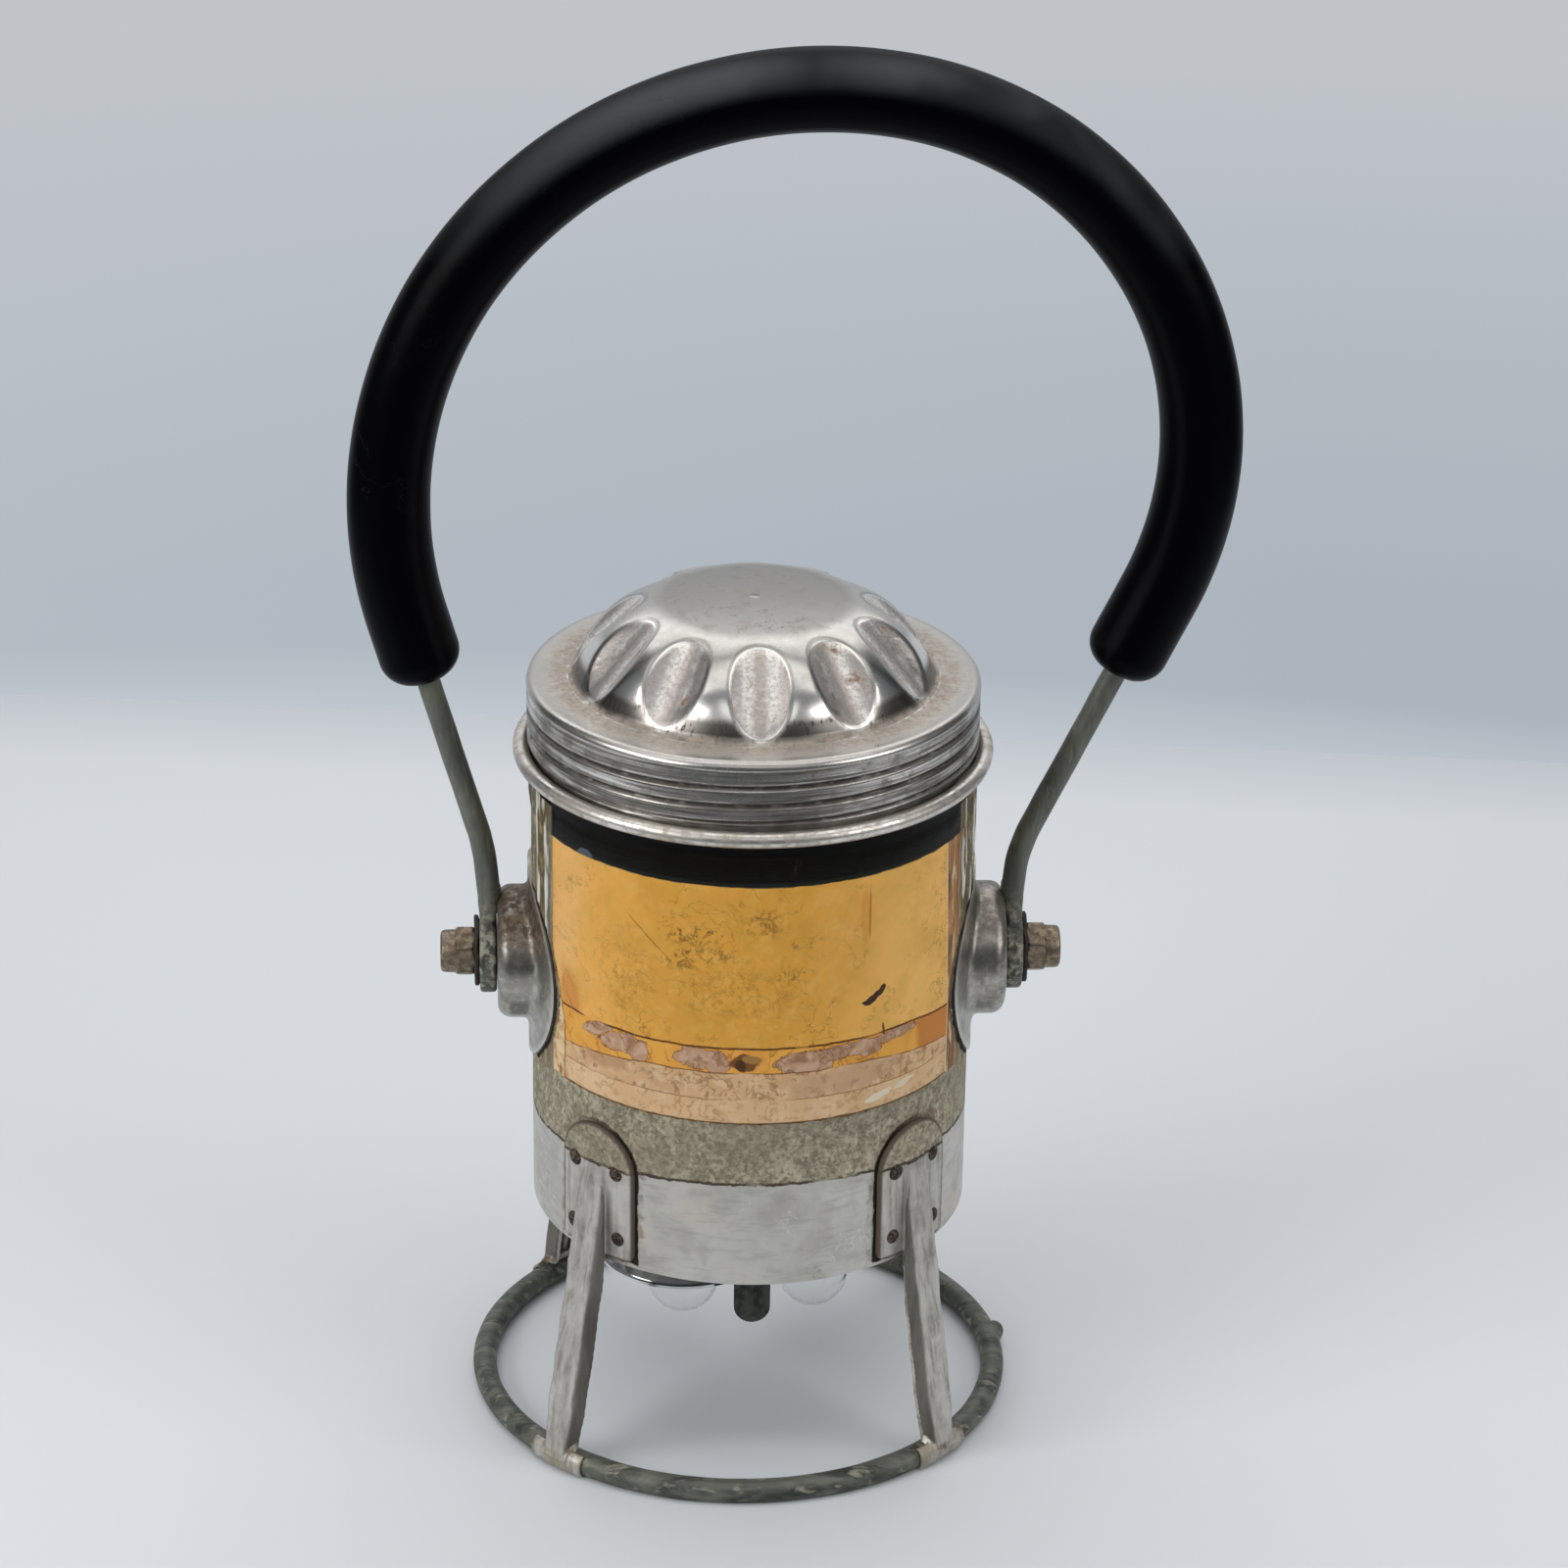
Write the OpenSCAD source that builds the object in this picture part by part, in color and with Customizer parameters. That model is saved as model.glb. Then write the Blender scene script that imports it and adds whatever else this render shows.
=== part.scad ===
// Electric railroad lantern with a dimpled screw cap, a wire bail and four legs on a wire ring.
// Millimetres. The origin is on the body's axis, on the surface that the ring stands on.
// +Z is up, -Y is the front, and the bail swings about the X direction.

/* [Body] */
// Outside diameter of the body tube
body_d = 95; // [93:0.5:105]
// Wall of the body tube
body_wall = 0.8; // [0.6:0.1:1]
// Height of the body's lower edge above the floor
body_bottom = 47.8; // [44:0.1:60]
// Height of the body, from its lower edge to the middle of the curled bead
body_h = 105.4; // [102:0.1:125]
// Diameter of the curled bead at the mouth
bead_d = 3.5; // [2.8:0.1:4.5]
// How far the bead stands out from the tube
bead_out = 3.8; // [3.2:0.1:5]
// Height of the flare below the middle of the bead
flare_h = 4.4; // [3.5:0.1:5]

/* [Cap] */
// How far the cap's skirt stands out from the bead's inner side
cap_step = 0.55; // [0.3:0.05:1.2]
// Sheet thickness of the cap
cap_wall = 0.8; // [0.6:0.1:1]
// Height of the skirt, up to the flat shoulder
skirt_h = 14.05; // [13:0.05:18]
// Gap between the skirt and the bead
skirt_gap = 0.65; // [0.3:0.05:1.5]
// Height of the crown above the shoulder
dome_h = 17.6; // [15:0.1:20]
// Radius of the nearly flat crown
crown_edge_r = 19.2; // [16:0.1:21]
// Radius of the crown's own curve
crown_curve_r = 200; // [120:1:400]
// Radius of the flank's curve
flank_r = 22; // [20.5:0.1:24]
// Radius of the rolled rim
rim_r = 1.6; // [1.2:0.1:2]
// Number of dimples round the dome
dimple_count = 11; // [7:1:13]
// Depth of a dimple
dimple_depth = 2.55; // [1.5:0.05:3]
// Radius of the tool that pressed the dimples
dimple_tool_r = 13; // [7:0.1:16]
// Slope of the flank at the middle of a dimple, in degrees
dimple_tilt = 46; // [42:1:50]

/* [Thread] */
// Pitch of the rolled thread
thread_pitch = 4; // [3.5:0.1:5]
// Depth of the thread's groove
thread_depth = 0.8; // [0.5:0.05:1]
// Width of the thread's groove
groove_w = 1.7; // [1.4:0.1:2.2]
// Height of the groove below the shoulder, at the front
groove_drop = 5.6; // [4:0.1:8]
// Radial gap between the two threads
thread_gap = 0.3; // [0.25:0.05:0.4]
// Thickness of the cap's skirt
skirt_wall = 0.6; // [0.5:0.05:0.7]
// Length of the neck's sleeve inside the body, below the bead
sleeve_h = 14; // [8:0.5:20]
// Thickness of the neck's sleeve
neck_wall = 0.8; // [0.6:0.1:1]
// Thickness of the cap gasket
gasket_t = 1.4; // [1:0.1:2]

/* [Pressure spring] */
// Radius of the pressure plate
plate_r = 30; // [26:0.5:32]
// Thickness of the pressure plate
plate_t = 1.2; // [0.8:0.1:2]
// Wire of the pressure spring
spring_wire = 1.8; // [1.2:0.1:2.2]
// Radius of the spring's lowest coil
spring_low_r = 24; // [20:0.5:25]
// Radius of the spring's highest coil
spring_high_r = 15; // [12:0.5:16]
// Room for the pressed spring, between the plate and the seat
spring_room = 21.68; // [18:0.02:24]
// Turns of the pressure spring
spring_turns = 5; // [4:1:6]
// Gap between the spring's highest coil and the lip of its seat in the cap
seat_gap = 0.8; // [0.3:0.1:1.5]
// Thickness of the seat
seat_t = 0.8; // [0.6:0.1:1]
// Height of the seat's lip
seat_lip = 3.6; // [2.5:0.1:5]

/* [Battery] */
// Gap between the square battery's corners and the neck's bore
battery_gap = 2.36; // [1.5:0.01:4]
// Radius of the battery's corners
battery_corner = 9.5; // [9:0.1:14]
// Wall of the battery's jacket
battery_wall = 1; // [0.6:0.1:1.5]
// Height of its terminal springs, pressed down
terminal_h = 8; // [7:0.1:10]
// Wire of the terminal springs
terminal_wire = 1.1; // [0.8:0.1:1.4]
// Thickness of the battery's lid
battery_lid_t = 2; // [1.5:0.1:3]
// Distance of the corner terminal inwards from the ring contact's edge
terminal_inset = 3; // [2:0.5:5]

/* [Lamp pan and board] */
// Depth of the pan's floor above the body's lower edge
pan_recess = 2; // [1.5:0.1:4]
// Sheet thickness of the pan
pan_wall = 0.8; // [0.6:0.1:1]
// Height of the pan's wall
pan_h = 26.5; // [26:0.5:32]
// Height of the board above the pan's floor
board_lift = 3.6; // [3.5:0.1:5]
// Thickness of the contact board
board_t = 2.2; // [1.6:0.1:3]
// Gap between the contact board and the pan's wall
board_gap = 2.85; // [1.85:0.05:5.85]
// Distance of the three screws inwards from the board's edge
screw_inset = 6; // [4:0.5:8]
// Radius of the screws' shanks
screw_r = 1.5; // [1.2:0.1:1.8]
// Radius of the screws' heads
screw_head_r = 2.7; // [2.3:0.1:3]
// Thickness of the contact plates
contact_t = 0.6; // [0.4:0.1:1]
// Gap between the centre contact and the rivets nearest to it
centre_gap = 2.5; // [1.5:0.1:5.5]
// Width of the ring contact
ring_contact_w = 13; // [10:0.5:15]
// Gap between the ring contact and the screws' heads
contact_gap = 0.3; // [0.2:0.1:1.5]

/* [Lamps] */
// Distance between the two lamps
lamp_gap = 28.8; // [28:0.1:32]
// Place of the lamps in front of the axis
lamp_front = 3; // [0:0.5:6]
// Diameter of the glass globe
globe_d = 15.7; // [14:0.1:16]
// How far the left bulb hangs below the body
left_bulb_drop = 30.8; // [29.8:0.1:31.8]
// How far the right bulb hangs below the body
right_bulb_drop = 29.6; // [29.3:0.1:31.3]
// Length of a bulb
bulb_l = 28; // [27:0.1:28.5]
// Wall of the glass
glass_wall = 0.5; // [0.3:0.1:0.7]
// Radius of the bulb's screw base
base_r = 4.7; // [4.5:0.05:4.9]
// Length of the bulb's screw base
base_h = 9.5; // [8:0.5:11]
// Gap between the bulb's base and the lamp socket
socket_gap = 0.4; // [0.3:0.05:0.6]
// Wall of the lamp socket
socket_wall = 0.5; // [0.4:0.1:0.7]
// Radius of the pin that touches a bulb's tip
contact_pin_r = 1.4; // [1:0.1:2]
// Radius of the pin's pad
contact_pad_r = 3; // [2:0.1:4]
// Thickness of the pin's pad
contact_pad_t = 0.7; // [0.5:0.1:1]
// Height of the pin's riveted tail above the board
contact_tail = 0.5; // [0.4:0.1:0.6]
// How far the sockets' mouths hang below the body
socket_drop = 12.3; // [10.8:0.1:13.8]
// Radius of the small reflector's rim
reflector_r = 17.9; // [15:0.1:18.2]
// How far the reflector's rim hangs below the body
reflector_drop = 15.6; // [14.8:0.1:16.8]
// Depth of the reflector
reflector_h = 8.8; // [7:0.1:10]
// Sheet thickness of the reflector
reflector_wall = 0.6; // [0.4:0.1:0.8]

/* [Switch] */
// Width of the switch lever
lever_w = 7.9; // [6:0.1:8.5]
// Thickness of the switch lever
lever_t = 1.2; // [1:0.1:1.3]
// Reach of the lever, from its pivot to the hanging tab
lever_reach = 26; // [25:0.5:28]
// How far the tab's round end hangs below the body
lever_drop = 21.3; // [17.8:0.1:27.8]
// Swing of the lever to each side, in degrees
lever_swing = 18; // [12:1:18]
// Radius of the lever's pivot pin
lever_pin_r = 2; // [1.5:0.1:2.4]
// Distance of the switch's studs inwards from the ring contact
stud_inset = 4; // [2:0.5:6]

/* [Bail] */
// Height of the pivots above the body's lower edge
pivot_up = 56.7; // [52.2:0.5:62.2]
// Diameter of the bail wire
bail_wire_d = 5; // [4:0.1:5.4]
// Straight rise of the left shank
left_rise = 21.4; // [20:0.1:30]
// Straight rise of the right shank
right_rise = 18.3; // [18:0.1:30]
// Lean of the left shank, in degrees
left_lean = 16.2; // [14:0.1:20]
// Radius of the bends where the shanks lean out
shank_bend_r = 25; // [15:1:30]
// Radius of the left arc
left_arc_r = 90.1; // [88:0.1:94]
// Sweep of the left arc, in degrees
left_arc_sweep = 117.9; // [114:0.1:120]
// Radius of the right arc
right_arc_r = 76.8; // [75:0.1:80]
// Sweep of the right arc, in degrees
right_arc_sweep = 103.6; // [102:0.1:108]
// Diameter of the grip
grip_d = 17.4; // [14:0.1:20]
// Straight length of the grip below the left arc
grip_left = 5; // [1:0.5:20]
// Straight length of the grip below the right arc
grip_right = 11; // [1:0.5:20]
// Diameter of the bail's flattened eye
eye_d = 18; // [17:0.5:20]
// Thickness of the eye
eye_t = 3.6; // [3:0.1:4]
// Height of the flattened neck above the eye
eye_neck_h = 5.5; // [4:0.1:7]
// How far the round wire reaches down into the neck
neck_overlap = 3; // [2:0.1:4]
// How much wider than the wire the neck is, to each side
neck_widening = 0.5; // [0.2:0.1:1]

/* [Ears and pivots] */
// Diameter of the ear cup
ear_d = 29; // [26:0.5:32]
// How far the ear cups stand out from the body
ear_out = 7.5; // [6.5:0.1:9.5]
// Sheet thickness of the ears
ear_wall = 1.2; // [0.8:0.1:1.5]
// Radius of the cup's rounded edge
ear_edge_r = 3; // [2:0.1:4]
// Diameter of the ear's flange
flange_d = 45; // [40:0.5:48]
// Radius of the pivot bolt
bolt_r = 2.4; // [2:0.1:2.6]
// Diameter of the dark washer
washer_d = 16; // [13:0.5:18]
// Thickness of the dark washer
washer_t = 1.1; // [0.8:0.1:2]
// Nut size across its flats
nut_flats = 10; // [9:0.5:12]
// Thickness of the nut's six-sided part
nut_t = 4; // [3:0.1:5]
// Diameter of the nut's round collar
collar_d = 9.4; // [8.5:0.1:10]
// Height of the nut's collar
collar_h = 3.3; // [2:0.1:4]

/* [Legs and ring] */
// Width of the leg's plate
leg_plate_w = 20.5; // [18:0.5:24]
// Height of the plate's lower edge above the body's lower edge
leg_plate_up = 1.5; // [1:0.1:3]
// Height of the plate
leg_plate_h = 30.6; // [30:0.1:34]
// Sheet thickness of the legs
leg_wall = 1.2; // [1:0.1:1.5]
// Width of the leg's channel
leg_w = 6.6; // [6:0.1:7.5]
// Depth of the leg's channel
leg_depth = 4.4; // [3.5:0.1:5]
// Height of the channel's start above the plate's lower edge
leg_top_up = 23; // [18:0.5:24]
// Length of the foot along the ring
foot_l = 13.5; // [10:0.5:18]
// How far the middle of the ring's wire stands out from the body
ring_out = 9.6; // [7.5:0.1:12.5]
// Diameter of the ring's wire
ring_wire_d = 5.2; // [4.5:0.1:6]
// Sideways offset of the ring, from bent legs
ring_shift = -1.7; // [-2:0.1:2]
// Depth of the worn flat under the ring
ring_flat = 0.2; // [0.1:0.05:0.4]
// Length of the ring's overlapped end
ring_end_l = 6; // [3:0.5:9]
// Distance of the upper rivets from the middle of the plate
upper_rivet_side = 6; // [5.2:0.1:7]
// Height of the upper rivets above the plate's lower edge
upper_rivet_up = 20.5; // [18:0.5:24]
// Distance of the lower rivets from the middle of the plate
lower_rivet_side = 6.5; // [5.2:0.1:7.5]
// Height of the lower rivets above the plate's lower edge
lower_rivet_up = 5; // [4:0.5:8]
// Radius of a rivet's shank
rivet_r = 1.2; // [1:0.1:1.4]

/* [Tape and card] */
// Height of the card's lower edge above the body's lower edge
card_up = 39.2; // [36.2:0.1:44.2]
// Gap between the card and the black tape band
card_gap = 2.25; // [0.5:0.05:10]
// Half of the angle that the card covers, in degrees
card_half = 59.5; // [40:0.5:61]
// Thickness of the card
card_t = 0.3; // [0.2:0.05:0.35]
// Height of the black tape band
band_h = 8.6; // [6:0.1:9]
// Gap between the band and the bead
band_gap = 0.6; // [0.3:0.1:2]
// Thickness of the black tape band
band_t = 0.35; // [0.2:0.05:0.4]
// Half of the angle that the clear tape covers, in degrees
clear_half = 78; // [70:1:84]
// Thickness of the clear tape
clear_t = 0.12; // [0.1:0.01:0.2]
// How far the clear tape reaches below the card
clear_low = 1.5; // [0.5:0.1:3]

/* [Hidden] */

$fn = 96;
fit = 0.05;
running_fit = 0.06;
eps = 0.01;

aluminium_c = [0.72, 0.71, 0.69];
pale_c = [0.8, 0.79, 0.77];
steel_c = [0.35, 0.37, 0.34];
brass_c = [0.72, 0.57, 0.3];
nut_c = [0.5, 0.44, 0.38];
black_c = [0.06, 0.06, 0.07];
fibre_c = [0.42, 0.24, 0.14];
card_c = [0.85, 0.62, 0.26];
glass_c = [0.8, 0.88, 0.92, 0.35];

// Body
body_r = body_d / 2;
body_in_r = body_r - body_wall;
bead_r = bead_d / 2;
bead_z = body_bottom + body_h;
bead_c_r = body_r + bead_out - bead_r;
bead_in_r = bead_c_r - bead_r;
flare_z = bead_z - flare_h;

// Cap, from the bead upwards
cap_r = bead_in_r + cap_step;
cap_d = 2 * cap_r;
skirt_z = bead_z + bead_r + skirt_gap;
shoulder_z = skirt_z + skirt_h;
crown_z = shoulder_z + dome_h;
crown_c_z = crown_z - crown_curve_r;
crown_tilt = asin(crown_edge_r / crown_curve_r);
flank_c_r = (crown_curve_r - flank_r) * sin(crown_tilt);
flank_c_z = crown_c_z + (crown_curve_r - flank_r) * cos(crown_tilt);

// Thread: the groove's middle is at groove_z at the front, and rises by a pitch with each turn
groove_z = shoulder_z - groove_drop;
joint_step = 0.1;
thread_steps = 40;
thread_row = 0.5;
thread_land_r = cap_r - joint_step;
thread_top_z = shoulder_z - 3.6;
neck_land_r = thread_land_r - skirt_wall - thread_gap;
neck_sleeve_r = body_in_r - fit;
sleeve_in_r = neck_sleeve_r - neck_wall;
thread_in_r = neck_land_r - thread_depth - neck_wall + fit;
neck_bore_r = min(sleeve_in_r, thread_in_r);
neck_low_z = bead_z - sleeve_h;
// The neck widens inside the flare, up to where its thread starts
thread_low_z = flare_z + flare_h * (neck_land_r + fit - body_in_r) / (bead_in_r - body_in_r);
neck_top_z = shoulder_z - cap_wall - gasket_t - 2 * fit;

// Lamp pan and what stands on it
pan_r = body_in_r - fit;
pan_floor_z = body_bottom + pan_recess + pan_wall;
board_z = pan_floor_z + board_lift;
board_top_z = board_z + board_t;
board_r = pan_r - pan_wall - board_gap;
screw_ring_r = board_r - screw_inset;
ring_contact_out = screw_ring_r - screw_head_r - contact_gap;
ring_contact_in = ring_contact_out - ring_contact_w;
stud_ring_r = ring_contact_in - stud_inset;

// Pressure spring, plate and battery, from the cap downwards
seat_r = spring_high_r + spring_wire / 2 + seat_gap + seat_t;
seat_clearance = 0.3;
seat_top_z = crown_c_z + sqrt(pow(crown_curve_r - cap_wall, 2) - pow(seat_r, 2)) - seat_clearance;
plate_top_z = seat_top_z - seat_t - spring_room;
plate_z = plate_top_z - plate_t;
battery_z = board_top_z + contact_t + terminal_h;
battery_top_z = plate_z - 2 * fit;
battery_w = sqrt(2) * (neck_bore_r - battery_gap - battery_corner) + 2 * battery_corner;
terminal_place_r = ring_contact_out - terminal_inset;
spring_low_z = plate_top_z + spring_wire / 2 + fit;
spring_high_z = seat_top_z - seat_t - spring_wire / 2 - 2 * fit;

// Lamps
lamp_x = lamp_gap / 2;
lamp_y = -lamp_front;
centre_contact_r = min(norm([lamp_x, lamp_y]), stud_ring_r) - rivet_r - centre_gap;
globe_r = globe_d / 2;
left_globe_z = body_bottom - left_bulb_drop;
right_globe_z = body_bottom - right_bulb_drop;
socket_mouth_z = body_bottom - socket_drop;
reflector_z = body_bottom - reflector_drop;
socket_r = base_r + socket_gap;
socket_out_r = socket_r + socket_wall;
socket_top_z = board_z - fit;
socket_flange_r = socket_out_r + 2;
insulator_r = socket_out_r + fit;
pan_socket_hole_r = insulator_r + 0.9;
neck_r = base_r - 0.55;

// Switch
pin_head_t = 0.8;
lever_z = pan_floor_z + 0.8;
lever_tip_z = body_bottom - lever_drop;
wiper_t = 0.4;
stud_t = 0.6;
slot_gap = 0.8;

// Pivots, measured outwards from the body's axis
pivot_z = body_bottom + pivot_up;
ear_x = body_r + ear_out;
eye_gap = 0.15;
washer_gap = 0.1;
bolt_past_nut = 1;
shank_gap = 0.2;
eye_x = ear_x + eye_gap;
washer_x = eye_x + eye_t + washer_gap;
nut_x = washer_x + washer_t + fit;
nut_end_x = nut_x + nut_t + collar_h;
bolt_end_x = nut_end_x + bolt_past_nut;
wire_r = bail_wire_d / 2;
shank_x = ear_x + wire_r + shank_gap;
grip_r = grip_d / 2;

// Legs and ring
ring_r = body_r + ring_out;
ring_wire_r = ring_wire_d / 2;
ring_z = ring_wire_r - ring_flat;
leg_in_r = body_r + fit;
leg_out_r = leg_in_r + leg_wall;
leg_plate_z = body_bottom + leg_plate_up;
leg_top_z = leg_plate_z + leg_top_up;
foot_r = ring_wire_r + fit + leg_wall;
leg_angles = [-135, -45, 135, 45];

// Tape and card
band_top_z = bead_z - bead_r - band_gap;
band_low_z = band_top_z - band_h;
card_z = body_bottom + card_up;
card_top_z = band_low_z - card_gap;
clear_in_r = body_r + fit + max(card_t, band_t) + fit;

// Bail path in the X-Z plane: a shank, a bend, a straight, two arcs, a straight, a bend and a shank
function dir(h) = [cos(h), sin(h)];
function right_of(h) = [sin(h), -cos(h)];
left_head = 90 + left_lean;
mid_head = left_head - left_arc_sweep;
right_head = mid_head - right_arc_sweep;
right_lean = -90 - right_head;
left_bend_start = [-shank_x, pivot_z + left_rise];
left_bend_c = left_bend_start - [shank_bend_r, 0];
left_bend_end = left_bend_c + shank_bend_r * dir(left_lean);
right_bend_start = [shank_x, pivot_z + right_rise];
right_bend_c = right_bend_start + [shank_bend_r, 0];
right_bend_end = right_bend_c + shank_bend_r * right_of(right_head);
arcs_span = left_arc_r * (right_of(left_head) - right_of(mid_head))
    + right_arc_r * (right_of(mid_head) - right_of(right_head));
rest_span = right_bend_end - left_bend_end - arcs_span;
spread = sin(right_head - left_head);
left_straight = (rest_span[0] * sin(right_head) - rest_span[1] * cos(right_head)) / spread;
right_straight = (rest_span[1] * cos(left_head) - rest_span[0] * sin(left_head)) / spread;
left_arc_start = left_bend_end + left_straight * dir(left_head);
left_arc_c = left_arc_start + left_arc_r * right_of(left_head);
arcs_meet = left_arc_c - left_arc_r * right_of(mid_head);
right_arc_c = arcs_meet + right_arc_r * right_of(mid_head);
right_arc_end = right_arc_c - right_arc_r * right_of(right_head);

// Joints of the path: point and heading. Pieces stop short of them, and a ring with a small lip closes each
joint_trim = 0.1;
wire_lip = 0.03;
grip_lip = 0.1;
grip_play = 0.2;
grip_bore_r = wire_r + grip_play;
grip_joints = [[left_arc_start, left_head], [arcs_meet, mid_head], [right_arc_end, right_head]];
shank_joints = [
    [left_bend_start, 90], [left_bend_end, left_head], [right_bend_end, right_head], [right_bend_start, 90]
];

// A coil spring's middle line: radius, height and angle all change steadily
function coil_point(t, turns, r0, r1, z0, z1) =
    let (a = 360 * turns * t, r = r0 + (r1 - r0) * t) [r * cos(a), r * sin(a), z0 + (z1 - z0) * t];
function coil_path(turns, r0, r1, z0, z1, rings = 8) =
    [for (i = [0:turns * rings]) coil_point(i / (turns * rings), turns, r0, r1, z0, z1)];
// Least gap between turns, measured on the points half a turn or more apart
function coil_gap(path, wire, rings = 8) =
    min([for (i = [0:len(path) - 1]) for (j = [i + rings / 2:1:len(path) - 1]) norm(path[i] - path[j])]) - wire;

// A round tube of six sides along a coil's points
module coil(path, wire, sides = 6) {
    last = len(path) - 1;
    rings = [for (i = [0:last]) let (
        fore = path[min(i + 1, last)] - path[max(i - 1, 0)],
        along = fore / norm(fore),
        out = [path[i][0], path[i][1], 0] / norm([path[i][0], path[i][1]]),
        flat_out = out - along * (out * along),
        side = flat_out / norm(flat_out),
        up = cross(along, side)
    ) [for (k = [0:sides - 1]) path[i] + wire / 2 * (side * cos(360 * k / sides) + up * sin(360 * k / sides))]];
    points = [for (ring = rings) each ring];
    walls = [for (i = [0:last - 1]) for (k = [0:sides - 1]) let (
        a = i * sides + k,
        b = i * sides + (k + 1) % sides
    ) each [[a, a + sides, b + sides], [a, b + sides, b]]];
    ends = [[for (k = [0:sides - 1]) k], [for (k = [sides - 1:-1:0]) last * sides + k]];
    polyhedron(points, concat(walls, ends), convexity = 10);
}

// Depth of the thread's groove at a height and an angle, from 0 to 1
function groove(z, a) = let (
    turn = (z - groove_z) / thread_pitch - (a + 90) / 360,
    off = abs(turn - round(turn)) * thread_pitch
) off < groove_w / 2 ? (1 + cos(360 * off / groove_w)) / 2 : 0;
function ramp(x, length) = min(1, max(0, x / length));

// A ring-shaped wall between a low and a high edge, from rows of its outer and inner points
module ring_wall(outer, inner, steps) {
    base = len(outer);
    outer_top = base - steps;
    inner_top = base + len(inner) - steps;
    out_walls = [for (k = [0:outer_top - 1]) let (b = k - k % steps + (k + 1) % steps)
        each [[k, b + steps, b], [k, k + steps, b + steps]]];
    in_walls = [for (k = [0:len(inner) - steps - 1]) let (a = base + k, b = base + k - k % steps + (k + 1) % steps)
        each [[a, b, b + steps], [a, b + steps, a + steps]]];
    rims = [for (i = [0:steps - 1]) let (n = (i + 1) % steps) each [
        [i, n, base + n], [i, base + n, base + i],
        [outer_top + i, inner_top + n, outer_top + n], [outer_top + i, inner_top + i, inner_top + n]
    ]];
    polyhedron(concat(outer, inner), concat(out_walls, in_walls, rims), convexity = 10);
}

module tube(r_out, r_in, z0, z1) {
    translate([0, 0, z0]) rotate_extrude() translate([r_in, 0]) square([r_out - r_in, z1 - z0]);
}

module disc(r, z0, z1) {
    translate([0, 0, z0]) cylinder(r = r, h = z1 - z0);
}

// A sector of a tube, from one angle to another
module tube_sector(r_out, r_in, z0, z1, a0, a1) {
    rotate([0, 0, a0]) translate([0, 0, z0]) rotate_extrude(angle = a1 - a0)
        translate([r_in, 0]) square([r_out - r_in, z1 - z0]);
}

// Turns what is drawn along +Z so that it runs outwards along +X, or along -X where side is -1
module along_side(side) {
    translate([0, 0, pivot_z]) rotate([0, 90 * side, 0]) children();
}

module at_lamps() {
    for (s = [-1, 1]) translate([s * lamp_x, lamp_y, 0]) children();
}

// Rivet places of one leg: sideways distance and height
rivet_places = [for (s = [-1, 1]) each [
    [s * upper_rivet_side, leg_plate_z + upper_rivet_up],
    [s * lower_rivet_side, leg_plate_z + lower_rivet_up]
]];

// Puts its children on each rivet's line, pointing outwards along +Z from the body's axis
module at_rivets(angle) {
    for (p = rivet_places)
        translate([0, 0, p[1]]) rotate([0, 0, angle + asin(p[0] / leg_out_r)]) rotate([0, 90, 0]) children();
}

module rivet_holes(angle) {
    at_rivets(angle) cylinder(r = rivet_r + fit, h = leg_out_r + 5, $fn = 24);
}

module all_rivet_holes() {
    for (angle = leg_angles) rivet_holes(angle);
}

module body_shell() {
    color(aluminium_c) difference() {
        rotate_extrude() {
            translate([body_in_r, body_bottom]) square([body_wall, flare_z - body_bottom]);
            polygon([
                [body_in_r, flare_z], [body_r, flare_z], [bead_in_r + body_wall, bead_z], [bead_in_r, bead_z]
            ]);
            difference() {
                translate([bead_c_r, bead_z]) circle(r = bead_r);
                translate([bead_c_r, bead_z]) circle(r = bead_r - body_wall);
                translate([bead_c_r - 0.5, bead_z - bead_r - 1]) square([0.6, bead_r + 1]);
            }
        }
        all_rivet_holes();
    }
}

module threaded_neck() {
    rows = [for (k = [0:ceil((neck_top_z - thread_low_z) / thread_row)])
        min(neck_top_z, thread_low_z + k * thread_row)];
    sleeve = [for (z = [neck_low_z, flare_z]) for (i = [0:thread_steps - 1])
        let (a = 360 * i / thread_steps) [neck_sleeve_r * cos(a), neck_sleeve_r * sin(a), z]];
    thread = [for (z = rows) for (i = [0:thread_steps - 1]) let (
        a = 360 * i / thread_steps,
        r = neck_land_r - thread_depth * groove(z, a) * ramp(z - thread_low_z, 1)
    ) [r * cos(a), r * sin(a), z]];
    bore = [
        [sleeve_in_r, neck_low_z], [sleeve_in_r, flare_z], [thread_in_r, thread_low_z], [thread_in_r, neck_top_z]
    ];
    inner = [for (p = bore) for (i = [0:thread_steps - 1])
        let (a = 360 * i / thread_steps) [p[0] * cos(a), p[0] * sin(a), p[1]]];
    color(aluminium_c) ring_wall(concat(sleeve, thread), inner, thread_steps);
}

// The cap's dome as a solid of revolution, drawn inwards by t
module dome_shape(t) {
    low = shoulder_z - cap_wall - (t > 0 ? eps : 0);
    rotate_extrude() {
        intersection() {
            translate([0, crown_c_z]) circle(r = crown_curve_r - t, $fn = 720);
            translate([0, low]) square([crown_edge_r, crown_z - low]);
        }
        intersection() {
            translate([flank_c_r, flank_c_z]) circle(r = flank_r - t);
            translate([crown_edge_r - eps, low]) square([cap_r, crown_z - low]);
        }
    }
}

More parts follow.
